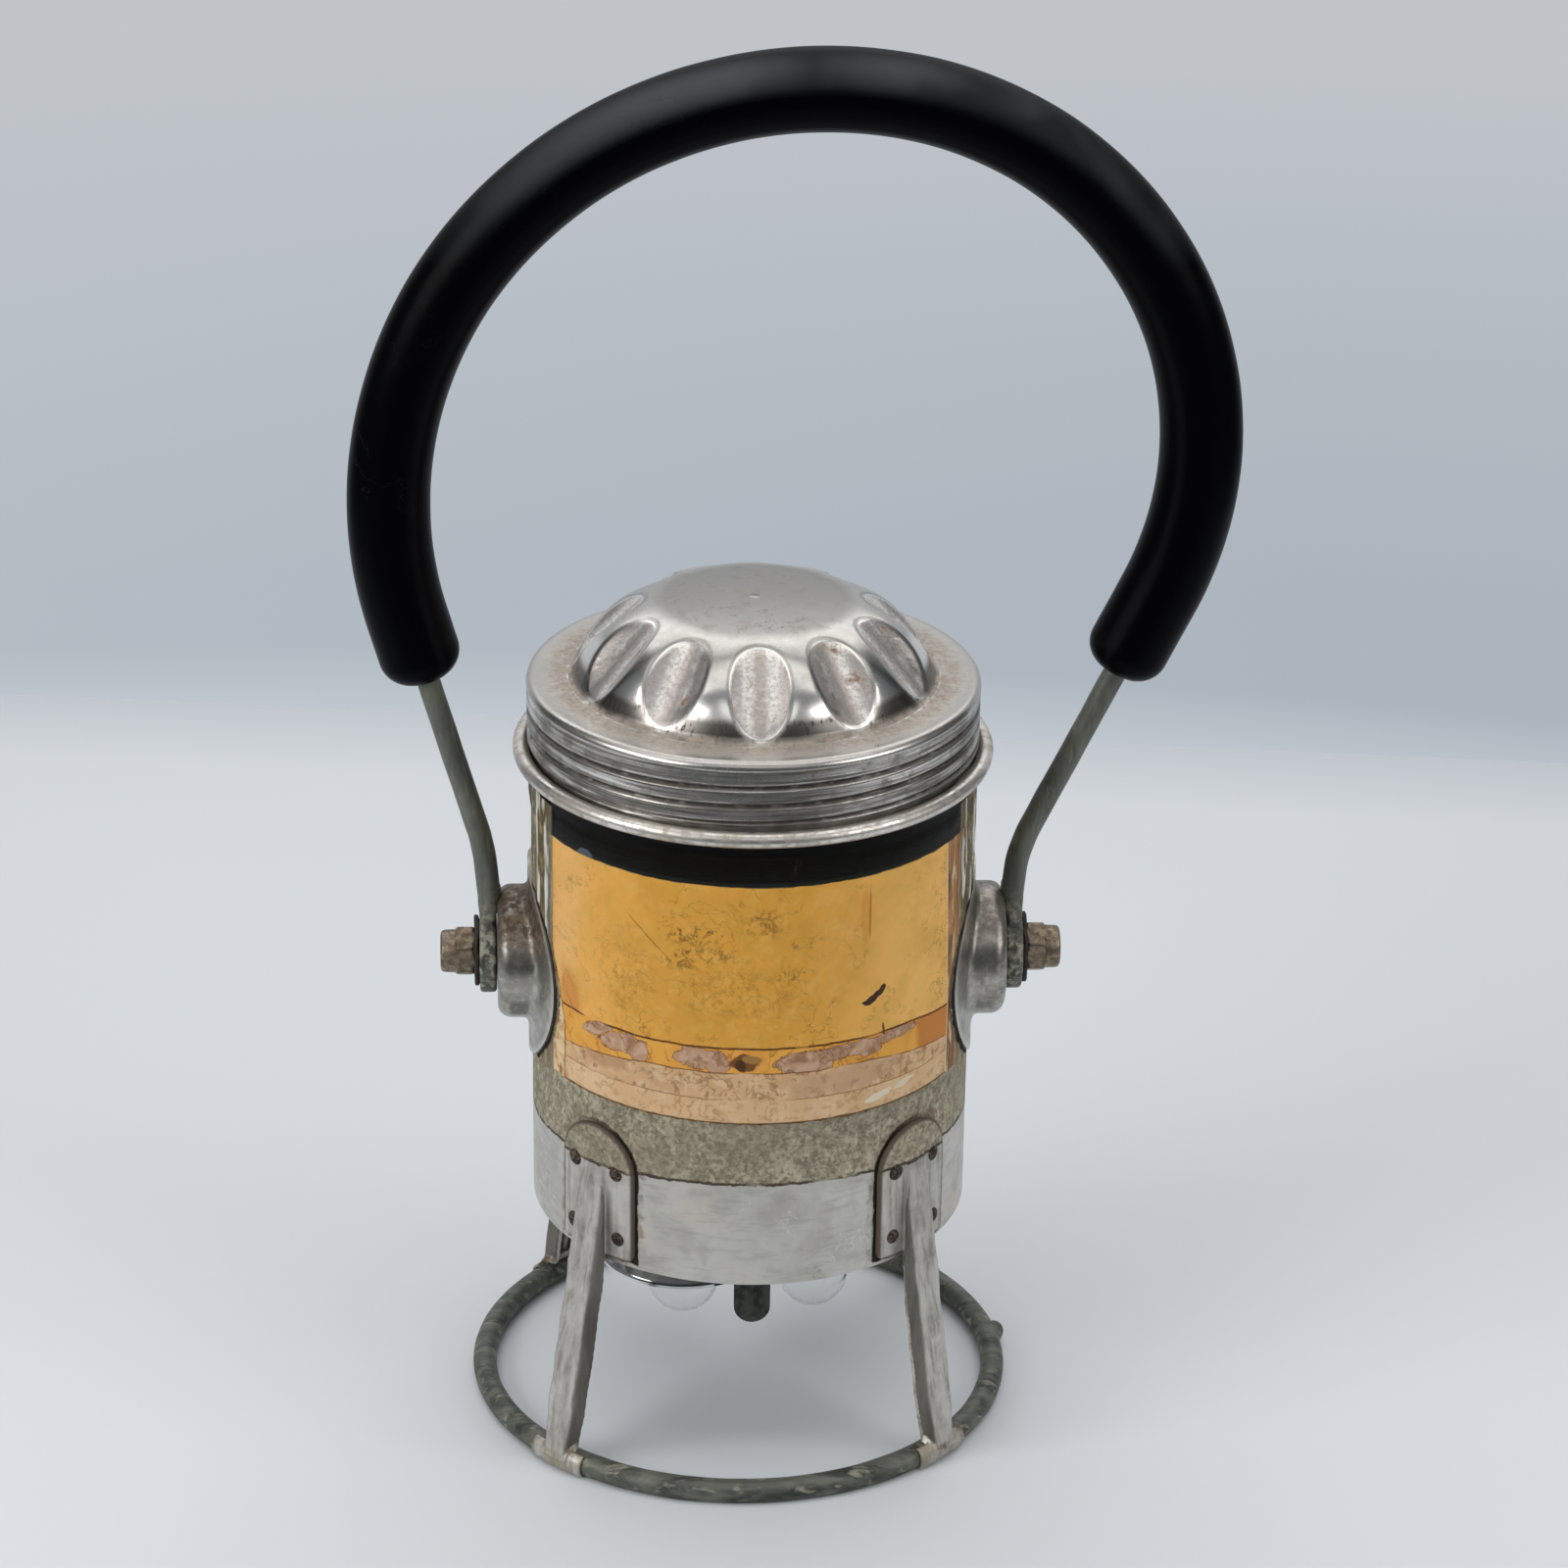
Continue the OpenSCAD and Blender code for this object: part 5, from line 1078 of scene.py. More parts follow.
def make_cap():
    """The cap's sheet, with its dimples pressed by a round tool and its rolled thread."""
    steps, inner_r, outer_r, blend, far = 352, 12, 40, 0.6, -3.0
    rows, flank_r, flank_z = cap_rows()
    angle = np.linspace(-math.pi / 2, 1.5 * math.pi, steps, endpoint=False)[None, :]
    r, z = rows[:, :1] + 0 * angle, rows[:, 1:] + 0 * angle
    sector = 2 * math.pi / DIMPLES
    local = (angle + math.pi / 2 + sector / 2) % sector - sector / 2
    away = angle - local
    out = np.array([math.sin(DIMPLE_TILT), math.cos(DIMPLE_TILT)])
    axis = np.array([flank_r, flank_z]) + (FLANK_CURVE + DIMPLE_TOOL - DIMPLE_DEPTH) * out
    up = (r * np.cos(local) - axis[0]) * out[0] + (z - axis[1]) * out[1]
    side = r * np.sin(local)
    deep = up + np.sqrt(np.clip(DIMPLE_TOOL**2 - side**2, 0, None))
    deep = np.where((z > SHOULDER_Z - 0.05) & (r < outer_r) & (r > inner_r), deep, far)
    press = 0.5 * (deep + np.sqrt(deep**2 + blend**2)) * np.clip((z - SHOULDER_Z) / 0.7, 0, 1)
    groove = groove_at(z, angle) * (r > CAP_R - 1.2) * (z < SHOULDER_Z - 2)
    radial = r - GROOVE_DEPTH * groove
    x = radial * np.cos(angle) - press * out[0] * np.cos(away)
    y = radial * np.sin(angle) - press * out[0] * np.sin(away)
    points = np.stack([x, y, z - press * out[1]], -1)
    dents = wobble(points.reshape(-1, 3), 0.055, 0.16, 3.0).reshape(points.shape)
    points[..., 2] += dents[..., 2] * (z > SHOULDER_Z - 1)
    shoulder = np.clip(1 - np.abs(z - SHOULDER_Z) / 1.2, 0, 1) * (r > SHOULDER_IN_R)
    dusty = np.clip((r - SHOULDER_IN_R) / 0.8, 0, 1) * np.clip((46.0 - r) / 3.6, 0, 1)
    steep = np.clip((SHOULDER_Z + 11 - z) / 9, 0, 1) * (r < 39.5) * (z > SHOULDER_Z)
    masks = {
        "deep": deep,
        "across": side,
        "crown": np.clip((CROWN_EDGE_R + 3 - r) / 3, 0, 1),
        "dirt": np.clip(shoulder * np.maximum(dusty, 0.12) * 1.1, 0, 1),
        "steep": steep * (1 - np.clip(deep / 0.35, 0, 1)),
        "groove": groove,
        "skirt": (z < SHOULDER_Z - RIM_CURVE) * (r > 40) * 1.0,
    }
    obj = new_object("cap_shell", points.reshape(-1, 3), grid_faces(len(rows), steps))
    add_masks(obj.data, masks)
    tidy(obj)
    thicken(obj, Vector((0, 0, 1)), CAP_WALL)
    smooth(obj)
    place(obj, "cap", "cap_metal", cap_metal, "cap")


# Body


def make_body():
    """The tube with its flared mouth and the bead curled round it."""
    middle = BODY_R - BODY_WALL / 2
    curl = BEAD_R - BODY_WALL / 2
    flare_z = BEAD_Z - FLARE
    wall = np.concatenate(
        [
            line((middle, BODY_LOW), (middle, BODY_LOW + 0.6), 3),
            line((middle, BODY_LOW + 3), (middle, flare_z), 28),
            line((middle + 0.2, flare_z + 1.2), (BEAD_CENTRE_R - curl, BEAD_Z - 0.6), 4),
            arc(BEAD_CENTRE_R, BEAD_Z, curl, 180, -105, 26),
        ]
    )
    obj = lathe("body_tube", sheet_profile(wall, BODY_WALL), 288, closed=True)
    mesh = obj.data
    points = read_points(mesh)
    dents = wobble(points, 0.03, 0.22, 9.0) * (points[:, 2:] < 146)
    dents[:, 2] = 0
    write_points(mesh, points + dents)
    mesh.materials.append(body_metal)
    mesh.materials.append(bead_metal)
    for face in mesh.polygons:
        face.material_index = int(face.center.z > (flare_z + 1.0) * MM)
    smooth(obj, 50)
    place(obj, "root", "aluminium", None, "body_shell")


# Pieces that follow a path


def run_nodes(obj, tree, **values):
    """Puts an object through a geometry node group, with values for its inputs."""
    made = obj.modifiers.new("nodes", "NODES")
    made.node_group = tree
    for item in tree.interface.items_tree:
        if item.in_out == "INPUT" and item.name in values:
            made[item.identifier] = values[item.name]
    apply_modifiers(obj)


def build_bar(g, start):
    """A bar along a line of points, with small bumps and closed ends."""
    curve = g.add("GeometryNodeMeshToCurve", {"Mesh": start["Geometry"]})
    share = g.add("GeometryNodeInputNamedAttribute", {"Name": "share"}, data_type="FLOAT")
    circle = {"Resolution": start["Sides"], "Radius": start["Radius"]}
    ring = g.add("GeometryNodeCurvePrimitiveCircle", circle)
    swept = {"Curve": curve, "Profile Curve": ring, "Scale": share, "Fill Caps": True}
    solid = g.add("GeometryNodeCurveToMesh", swept)
    bumps = g.add("TexNoise", {"Scale": start["Bump Scale"], "Detail": 3.0}, out="Color")
    bumps = g.add("VectorMath", {0: bumps, 1: (0.5, 0.5, 0.5)}, operation="SUBTRACT")
    bumps = g.add("VectorMath", {0: bumps, "Scale": start["Bumps"]}, operation="SCALE")
    moved = g.add("GeometryNodeSetPosition", {"Geometry": solid, "Offset": bumps})
    return {"Geometry": g.add("GeometryNodeSetMaterial", {"Geometry": moved, "Material": start["Finish"]})}


def build_rivets(g, start):
    """A domed head on each point, turned along the point's outward direction."""
    head = g.add("GeometryNodeObjectInfo", {"Object": start["Head"]}, out="Geometry")
    outward = g.add("GeometryNodeInputNamedAttribute", {"Name": "outward"}, data_type="FLOAT_VECTOR")
    turn = g.add("FunctionNodeAlignRotationToVector", {"Vector": outward}, axis="Z")
    sizes = {2: 0.88, 3: 1.12, "Seed": start["Seed"]}
    size = g.add("FunctionNodeRandomValue", sizes, out=1, data_type="FLOAT")
    spread = {"Points": start["Geometry"], "Instance": head, "Rotation": turn, "Scale": size}
    real = g.add("GeometryNodeRealizeInstances", {0: g.add("GeometryNodeInstanceOnPoints", spread)})
    return {"Geometry": g.add("GeometryNodeSetMaterial", {0: real, "Material": start["Finish"]})}


SHAPE = {"Geometry": "Geometry"}
BAR_SIZES = {"Radius": "Float", "Sides": "Int", "Bumps": "Float", "Bump Scale": "Float"}
BAR = node_group("bar_along_path", build_bar, SHAPE, **SHAPE, **BAR_SIZES, Finish="Material")
RIVET_INPUTS = {"Head": "Object", "Seed": "Int", "Finish": "Material"}
RIVETS = node_group("rivets_on_points", build_rivets, SHAPE, **SHAPE, **RIVET_INPUTS)


def bar(name, path, shares, radius, sides, bumps, bump_scale, finish, closed=False):
    """A bar along a path in millimetres; shares scale its radius point by point."""
    count = len(path)
    edges = [(k, k + 1) for k in range(count - 1)] + ([(count - 1, 0)] if closed else [])
    obj = new_object(name, path, [], edges)
    add_masks(obj.data, {"share": shares})
    sizes = {"Radius": radius * MM, "Sides": sides, "Bumps": bumps * MM, "Bump Scale": bump_scale}
    run_nodes(obj, BAR, **sizes, Finish=finish)
    return obj


def heading(h):
    """A direction, from its angle in degrees."""
    return np.array([math.cos(math.radians(h)), math.sin(math.radians(h))])


def right_of(h):
    """The direction to the right of a heading."""
    return heading(h - 90)


class Bail:
    """The bail's middle line in the X-Z plane: a shank, a bend and a straight on each side, and two arcs."""

    shank_x = 57.7
    rises = (21.4, 18.3)
    neck_top = 13.0
    lean = 16.2
    bend = 25.0
    arcs = ((90.1, 117.9), (76.8, 103.6))

    def __init__(self):
        (r1, turn1), (r2, turn2) = self.arcs
        left = 90 + self.lean
        mid = left - turn1
        right = mid - turn2
        self.heads = (left, mid, right)
        self.start = np.array([-self.shank_x, PIVOT_Z + self.rises[0]])
        self.stop = np.array([self.shank_x, PIVOT_Z + self.rises[1]])
        self.bend_end = self.start - (self.bend, 0) + self.bend * heading(self.lean)
        self.fall_end = self.stop + (self.bend, 0) + self.bend * right_of(right)
        span = r1 * (right_of(left) - right_of(mid)) + r2 * (right_of(mid) - right_of(right))
        ways = np.stack([heading(left), heading(right)], 1)
        rise = np.linalg.solve(ways, self.fall_end - self.bend_end - span)[0]
        self.arc_start = self.bend_end + rise * heading(left)
        self.centre1 = self.arc_start + r1 * right_of(left)
        self.centre2 = self.centre1 + (r2 - r1) * right_of(mid)
        self.arc_end = self.centre2 - r2 * right_of(right)

    def arches(self, step=1.6):
        """Points of the two arcs under the hand, from left to right."""
        left, mid, right = self.heads
        counts = [int(r * math.radians(turn) / step) for r, turn in self.arcs]
        one = arc(*self.centre1, self.arcs[0][0], left + 90, mid + 90, counts[0])
        two = arc(*self.centre2, self.arcs[1][0], mid + 90, right + 90, counts[1])
        return np.concatenate([one, two[1:]])

    def wire(self):
        """Points of the whole wire, from the left eye's neck to the right one's."""
        bend, neck_z = self.bend, PIVOT_Z + self.neck_top
        parts = [
            line((-self.shank_x, neck_z), self.start, 6),
            arc(self.start[0] - bend, self.start[1], bend, 0, self.lean, 8),
            line(self.bend_end, self.arc_start, 24),
            self.arches(2.5),
            line(self.arc_end, self.fall_end, 24),
            arc(self.stop[0] + bend, self.stop[1], bend, 270 + self.heads[2], 180, 8),
            line(self.stop, (self.shank_x, neck_z), 6),
        ]
        path = np.concatenate([parts[0]] + [part[1:] for part in parts[1:]])
        inwards = NECK_SHIFT * np.clip((PIVOT_Z + 25 - path[:, 1]) / 12, 0, 1)
        path[:, 0] -= np.sign(path[:, 0]) * inwards
        return path


BAIL = Bail()


def in_plane(points):
    """Points of the X-Z plane in space."""
    return np.stack([points[:, 0], 0 * points[:, 0], points[:, 1]], -1)


def make_grip():
    """The thick rubber grip: round ends, a shallow seam on its inner side and small dents."""
    left, right = BAIL.heads[0], BAIL.heads[2]
    past_arcs = (5.0 + GRIP_R, 11.0 + GRIP_R)
    end_round, seam_at, seam_w, seam_depth, highlight_at, highlight_w = 6.0, -0.95, 0.05, 0.3, -2.35, 0.6
    arches = BAIL.arches()
    first = line(BAIL.arc_start - past_arcs[0] * heading(left), BAIL.arc_start, 26)
    last = line(BAIL.arc_end, BAIL.arc_end + past_arcs[1] * heading(right), 30)
    path = np.concatenate([first, arches[1:], last[1:]])
    gone = np.concatenate([[0], np.cumsum(np.linalg.norm(np.diff(path, axis=0), axis=1))])
    near_end = np.clip(1 - np.minimum(gone, gone[-1] - gone) / end_round, 0, 1)
    shares = 1 - (end_round / GRIP_R) * (1 - np.sqrt(1 - near_end**2)) * 0.99
    obj = tidy(bar("grip", in_plane(path), shares, GRIP_R, 56, 0.35, 28.0, grip_rubber))
    points = read_points(obj.data)
    flat = points[:, [0, 2]]
    nearest = np.array([np.argmin(((path - point) ** 2).sum(-1)) for point in flat])
    on_first = nearest < len(first) + len(arches) * 0.55
    inward = np.where(on_first[:, None], BAIL.centre1, BAIL.centre2) - path[nearest]
    inward /= np.linalg.norm(inward, axis=1)[:, None]
    side = np.arctan2(points[:, 1], ((flat - path[nearest]) * inward).sum(1))
    seam = np.exp(-(((side - seam_at) / seam_w) ** 2))
    # The band on the grip's upper front that its finish paints as a highlight
    upper = np.clip(1 - ((side - highlight_at) / highlight_w) ** 2, 0, 1)
    points[:, [0, 2]] -= inward * (seam_depth * seam)[:, None]
    write_points(obj.data, points)
    add_masks(obj.data, {"seam": seam, "upper": upper})
    smooth(obj)
    place(obj, "bail", "rubber", grip_rubber, "bail_grip")


def eye_neck(side):
    """Where the round wire is flattened into the eye."""
    sides, top_z, length, half_w = 40, PIVOT_Z + 15.5, 8.5, 5.6
    rows = []
    a = around(sides)
    c, s = np.cos(a), np.sin(a)
    shank = side * (BAIL.shank_x - NECK_SHIFT)
    for share in np.linspace(0, 1, 12):
        flat = np.clip((share - 0.5) / 0.2, 0, 1)
        flat = flat * flat * (3 - 2 * flat)
        power = 1 - 0.45 * flat
        half_x = WIRE_R + (EYE_HALF - WIRE_R) * flat
        half_y = WIRE_R + (half_w - WIRE_R) * flat
        x = shank + (side * EYE_X - shank) * flat + half_x * np.sign(c) * np.abs(c) ** power
        y = half_y * np.sign(s) * np.abs(s) ** power
        rows.append(np.stack([x, y, top_z - share * length + 0 * a], -1))
    points = np.concatenate(rows)
    faces = grid_faces(len(rows), sides)
    faces += [tuple(range(sides)), tuple(range(len(points) - sides, len(points)))]
    return tidy(new_object("neck", points, faces))


def make_bail_wire():
    """The wire and its two flattened eyes."""
    path = BAIL.wire()
    parts = [bar("bail_rod", in_plane(path), np.ones(len(path)), WIRE_R, 28, 0.3, 90.0, wire_zinc)]
    for side in (-1, 1):
        parts += [eye_neck(side), eye_plate(side)]
    joined = join_up("bail_rod", parts)
    smooth(joined, 40)
    place(joined, "bail", "wire_steel", wire_zinc, "bail_wire")


def eye_plate(side):
    """The round flat end with its bore, as a ring about the pivot."""
    half, edge, bore = EYE_HALF, 0.7, 2.46
    outline = [(bore, -half + 0.2), (bore + 0.2, -half)]
    outline += arc(EYE_R - edge, -half + edge, edge, -90, 0, 5).tolist()
    outline += arc(EYE_R - edge, half - edge, edge, 0, 90, 5).tolist()
    outline += [(bore + 0.2, half), (bore, half - 0.2)]
    return onto_pivot(lathe("eye", outline, 64, closed=True), side, EYE_X)


def join_up(name, parts):
    """One object of several meshes."""
    shape = bmesh.new()
    for part in parts:
        shape.from_mesh(part.data)
    mesh = bpy.data.meshes.new(name)
    shape.to_mesh(mesh)
    shape.free()
    for part in parts:
        bpy.data.objects.remove(part)
    return link(name, mesh)


def make_ring():
    """The base ring: a bent wire with one end overlapped, worn flat below."""
    a = around(240)
    path = np.stack([RING_SHIFT + RING_R * np.cos(a), RING_R * np.sin(a), RING_Z + 0 * a], -1)
    obj = bar("ring_wire", path, np.ones(len(path)), RING_WIRE, 28, 0.35, 70.0, ring_zinc, closed=True)
    turn, off = math.radians(6), math.radians(-24)
    start = np.array([RING_SHIFT + RING_R * math.cos(turn), RING_R * math.sin(turn), RING_Z])
    along = np.array([-math.sin(off), math.cos(off), 0])
    steps = np.linspace(-1, 6, 12)
    shares = np.clip(np.sqrt(np.clip(1 - (steps / 6.3) ** 6, 0, 1)), 0.25, 1)
    path = start + along * steps[:, None]
    stub = bar("ring_end", path, shares, RING_WIRE * 0.95, 24, 0.3, 120.0, ring_zinc)
    joined = join_up("ring_wire", [obj, stub])
    points = read_points(joined.data)
    points[:, 2] = np.maximum(points[:, 2], 0)
    write_points(joined.data, points)
    smooth(joined, 60)
    place(joined, "root", "wire_steel", ring_zinc, "base_ring")


# Ears and pivots


def pivot_rings(side, rings, steps):
    """Points of rings about the pivot; a ring is its radius and its place out along the pivot's axis."""
    a = around(steps)
    rows = [np.stack([side * (x + 0 * a), r * np.cos(a), PIVOT_Z + r * np.sin(a)], -1) for r, x in rings]
    return np.concatenate(rows)


def make_ear(side, name, node):
    """A spun cup on a flange that follows the body."""
    steps, cup, edge, face_x, flange_x = 144, 14.5, 3.0, 55.0, 48.35
    y_share = np.cos(around(steps))
    rings = [(r, face_x - 0.15 * max(0, r - 9)) for r in (2.6, 3.2, 5.5, 8.0, 9.5, 10.6, 11.1)]
    for turn in np.radians(np.linspace(15, 90, 9)):
        rings.append((cup - edge + edge * math.sin(turn), face_x - edge + edge * math.cos(turn)))
    top = face_x - edge
    low = np.sqrt((flange_x + 1.2) ** 2 - (cup * y_share) ** 2)
    rings += [(cup, top + (low - top) * share) for share in np.linspace(0.1, 0.9, 8)]
    for k, r in enumerate((14.55, 14.8, 15.3, 16.2, 17.5, 19.0, 20.6, 21.8, FLANGE_R)):
        rise = max(0.0, 1.2 * (1 - k / 4)) ** 2 / 1.2
        rings.append((r, np.sqrt((flange_x + rise) ** 2 - (r * y_share) ** 2)))
    obj = new_object(name, pivot_rings(side, rings, steps), grid_faces(len(rings), steps))
    worn = [0.0] * (len(rings) - 2) + [0.5] * 2
    add_masks(obj.data, {"rim": np.repeat(worn, steps)})
    tidy(obj)
    thicken(obj, Vector((side, 0, 0)), 0.75)
    smooth(obj, 45)
    place(obj, "root", "ear_metal", ear_metal, node)


def make_nut(side, name, node):
    """A stop nut: chamfered hexagon and a round collar with a rolled edge."""
    steps, half_flats = 96, 5.0
    hexagon = half_flats / np.cos((around(steps) + math.pi / 6) % (math.pi / 3) - math.pi / 6)
    profile = (
        (2.45, 60.05), (5.1, 60.02), (5.55, 60.3), (6.0, 60.55), (6.0, 63.3), (5.5, 63.7), (5.0, 63.95),
        (4.72, 64.05), (4.68, 64.4), (4.62, 66.3), (4.45, 66.9), (4.1, 67.2), (3.6, 67.3), (2.9, 67.25),
        (2.5, 66.9), (2.45, 60.6),
    )
    points = pivot_rings(side, [(np.minimum(hexagon, r), x) for r, x in profile], steps)
    obj = tidy(new_object(name, points, grid_faces(len(profile), steps, True, True)))
    smooth(obj, 32)
    place(obj, "root", "nut_steel", nut_metal, node)


def make_washer(side, name, node):
    """A dark washer with a ragged edge."""
    steps = 120
    a = around(steps)
    rag = ripple(a, 1.8, side * 3.0) + 0.4 * ripple(a, 6, side * 5.0)
    outer, bore, bent = 7.6 + 0.35 * rag, 2.5, 0.25 * rag
    rings = [(bore, 58.95), (outer - 0.3, 58.9 + bent), (outer, 59.1 + bent), (outer, 59.7 + bent)]
    rings += [(outer - 0.3, 59.9 + bent), (bore, 59.9)]
    points = pivot_rings(side, rings, steps)
    obj = tidy(new_object(name, points, grid_faces(len(rings), steps, True, True)))
    smooth(obj, 50)
    place(obj, "root", "washer_rubber", washer_dark, node)


def make_bolt(side, name, node):
    """The pivot bolt, threaded at its outer end."""
    shank, root, thread_x, pitch = 2.4, 2.12, 59.5, 0.7
    profile = [(0, 51.5), (5.1, 51.5), (5.5, 51.9), (5.5, 53.3), (5.2, 53.65), (shank, 53.65)]
    profile.append((shank, thread_x))
    for k in range(11):
        x = thread_x + pitch * k
        profile += [(shank, x), (root, x + pitch / 2)]
    profile[-1:] = [(2.2, 67.0), (1.8, 67.15), (0, 67.1)]
    obj = onto_pivot(lathe(name, profile, 48), side)
    smooth(obj, 40)
    place(obj, "root", "nut_steel", nut_metal, node)


# Legs


def leg_masks(mesh, points, foot, radial, c, s):
    """Masks for the leg's finish: its flanks, its worn edges, its foot and its riveted plate."""
    foot_x, plate_x, knee_z, edge_depth, plate_low = 60.5, 48.75, 72.3, 4.3, 48.9
    mesh.update()
    normals = np.empty(points.size)
    mesh.vertices.foreach_get("normal", normals)
    normals = normals.reshape(-1, 3)
    sideways = np.abs(normals[:, 1] * c - normals[:, 0] * s)
    z = points[:, 2]
    free = ((radial > 49.6) | (z < 49)) * (1 - foot)
    depth = foot_x + (plate_x - foot_x) * np.clip(z / knee_z, 0, 1) - radial
    return {
        "flank": np.clip((sideways - 0.45) / 0.3, 0, 1) * free,
        "edge": (np.abs(depth - edge_depth) < 0.6) * free * (z < 46),
        "foot": foot,
        "plate": (z > plate_low) & (np.hypot(points[:, 0], points[:, 1]) < 49.0),
    }


def make_leg(name, node, angle):
    """The leg's solid with the soft edges of pressed sheet, a foot that is open inwards, and dents."""
    voxel, web_half, foot_r, sheet_r, hidden_r = 0.3, 3.7, 4.3, 2.65, 2.35
    obj = copy_of_node(name, node)
    grown = obj.modifiers.new("remesh", "REMESH")
    grown.mode = "VOXEL"
    grown.voxel_size = voxel * MM
    soft = obj.modifiers.new("soft", "SMOOTH")
    soft.iterations = 3
    soft.factor = 0.5
    apply_modifiers(obj)
    mesh = obj.data
    points = read_points(mesh)
    height = points[:, 2:]
    loose = np.clip((height - 3) / 6, 0, 1) * (height < 48) + 0.1
    points += wobble(points, 0.16, 0.22, len(name) * 1.3) * loose
    c, s = math.cos(math.radians(angle)), math.sin(math.radians(angle))

    def from_ring():
        """Places from the ring's middle, their distances from it, and those past the ring's wire."""
        flat = points[:, :2] - (RING_SHIFT, 0)
        reach = np.linalg.norm(flat, axis=1)
        return flat, reach, reach - RING_R

    across, up = from_ring()[2], points[:, 2] - RING_Z
    round_wire = np.hypot(across, up)
    phi = np.degrees(np.arctan2(up, across))
    foot = np.clip((foot_r - round_wire) / 0.25, 0, 1)
    radial = points[:, 0] * c + points[:, 1] * s
    along = points[:, 1] * c - points[:, 0] * s
    out = np.hypot(points[:, 0], points[:, 1])
    wide = 0.2 * np.clip(out - 49.0, 0, 1) * np.clip((points[:, 2] - 6) / 6, 0, 1)
    points[:, :2] += (wide * along)[:, None] * (-s, c)
    flat, reach, across = from_ring()
    web = np.abs(along) < web_half
    limit = np.where(web, 92, 58)
    hidden = np.clip(np.clip((phi - limit) / 10, 0, 1) + np.clip((-105 - phi) / 10, 0, 1), 0, 1)
    thin = np.where(web & (phi > 10), 1.0, 0.62)
    target = np.where(round_wire > sheet_r, sheet_r + (round_wire - sheet_r) * thin, round_wire)
    target = target * (1 - hidden) + hidden_r * hidden
    scale = 1 + (target / np.maximum(round_wire, 0.1) - 1) * foot
    points[:, :2] = flat / reach[:, None] * (RING_R + across * scale)[:, None] + (RING_SHIFT, 0)
    points[:, 2] = np.maximum(RING_Z + up * scale, 0.02)
    write_points(mesh, points)
    add_masks(mesh, leg_masks(mesh, points, foot, radial, c, s))
    smooth(obj)
    place(obj, "root", "leg_metal", leg_metal, node)


def make_rivets():
    """All sixteen rivets of the legs, from one head."""
    plate_r = 48.75
    spots, outs = [], []
    for angle in LEG_ANGLES.values():
        for side, z in ((-6, 69.8), (6, 69.8), (-6.5, 54.3), (6.5, 54.3)):
            a = math.radians(angle) + math.asin(side / plate_r)
            outs.append(np.array([math.cos(a), math.sin(a), 0]))
            spots.append(outs[-1] * plate_r + (0, 0, z))
    dome = [(0, 0.62), (0.5, 0.6), (0.95, 0.5), (1.4, 0.32), (1.75, 0.1), (1.85, -0.2)]
    head = lathe("rivet_head", dome + [(1.2, -0.3), (1.2, -2.4), (0, -2.4)], 20)
    smooth(head, 60)
    obj = new_object("rivets", spots, [])
    add_masks(obj.data, {"outward": outs}, "FLOAT_VECTOR", "vector")
    run_nodes(obj, RIVETS, Head=head, Seed=4, Finish=rivet_rust)
    bpy.data.objects.remove(head)
    smooth(obj, 60)
    place(obj, "root", "rivet_steel", rivet_rust, "leg_rivets")


# Tape and card


def wrap(name, half_deg, z0, z1, radius, thick, rag, lift=None):
    """A ragged sheet wrapped round the front of the body, with its ears' places cut out."""
    points, cols, rows = [], 420, 60
    for share in np.linspace(0, 1, rows):
        for k, a in enumerate(np.radians(np.linspace(-half_deg[0], half_deg[1], cols)) - math.pi / 2):
            low = rag * (noise.noise(Vector((a * 22, 3.1, 0))) + 0.5 * noise.noise(Vector((a * 70, 1.1, 0))))
            high = rag * noise.noise(Vector((a * 19, 8.3, 0)))
            z = (z0 + low) * (1 - share) + (z1 + high) * share
            end = 0.0
            if k < 6 or k > cols - 7:
                end = 0.012 * rag * noise.noise(Vector((z * 0.35, k * 0.01, 2.0)))
            r = radius + (lift(a + math.pi / 2, z) if lift else 0.0)
            points.append((r * math.cos(a + end), r * math.sin(a + end), z))
    obj = tidy(new_object(name, points, grid_faces(rows, cols, False)))
    thicken(obj, Vector((0, -1, 0)), thick, offset=1)
    reach = FLANGE_R + 0.4
    for side in (-1, 1):
        cutter = onto_pivot(lathe("cutter", [(0, 20), (reach, 20), (reach, 70), (0, 70)], 96), side)
        cut = obj.modifiers.new("cut", "BOOLEAN")
        cut.operation = "DIFFERENCE"
        cut.object = cutter
        cut.solver = "EXACT"
        apply_modifiers(obj)
        bpy.data.objects.remove(cutter)
    smooth(obj, 50)
    return obj


def crinkle(angle, z):
    """How far the clear tape's loose ends stand off the body."""
    edge = max(0.0, (abs(math.degrees(angle)) - 60) / 18)
    wave = noise.noise(Vector((math.degrees(angle) * 0.35, z * 0.05, 4.0)))
    return 0.5 * edge * (0.35 + wave)


def make_wraps():
    """The card and the clear tape over it."""
    card = wrap("old_card", (64, 70), 86.5, 141.5, 47.6, 0.22, 0.3)
    place(card, "root", "card", card_paper, "label_card")
    film = wrap("film", (78, 78), 85.6, 148.6, 48.05, 0.1, 0.5, crinkle)
    place(film, "root", "clear_tape", tape_clear, "clear_tape")


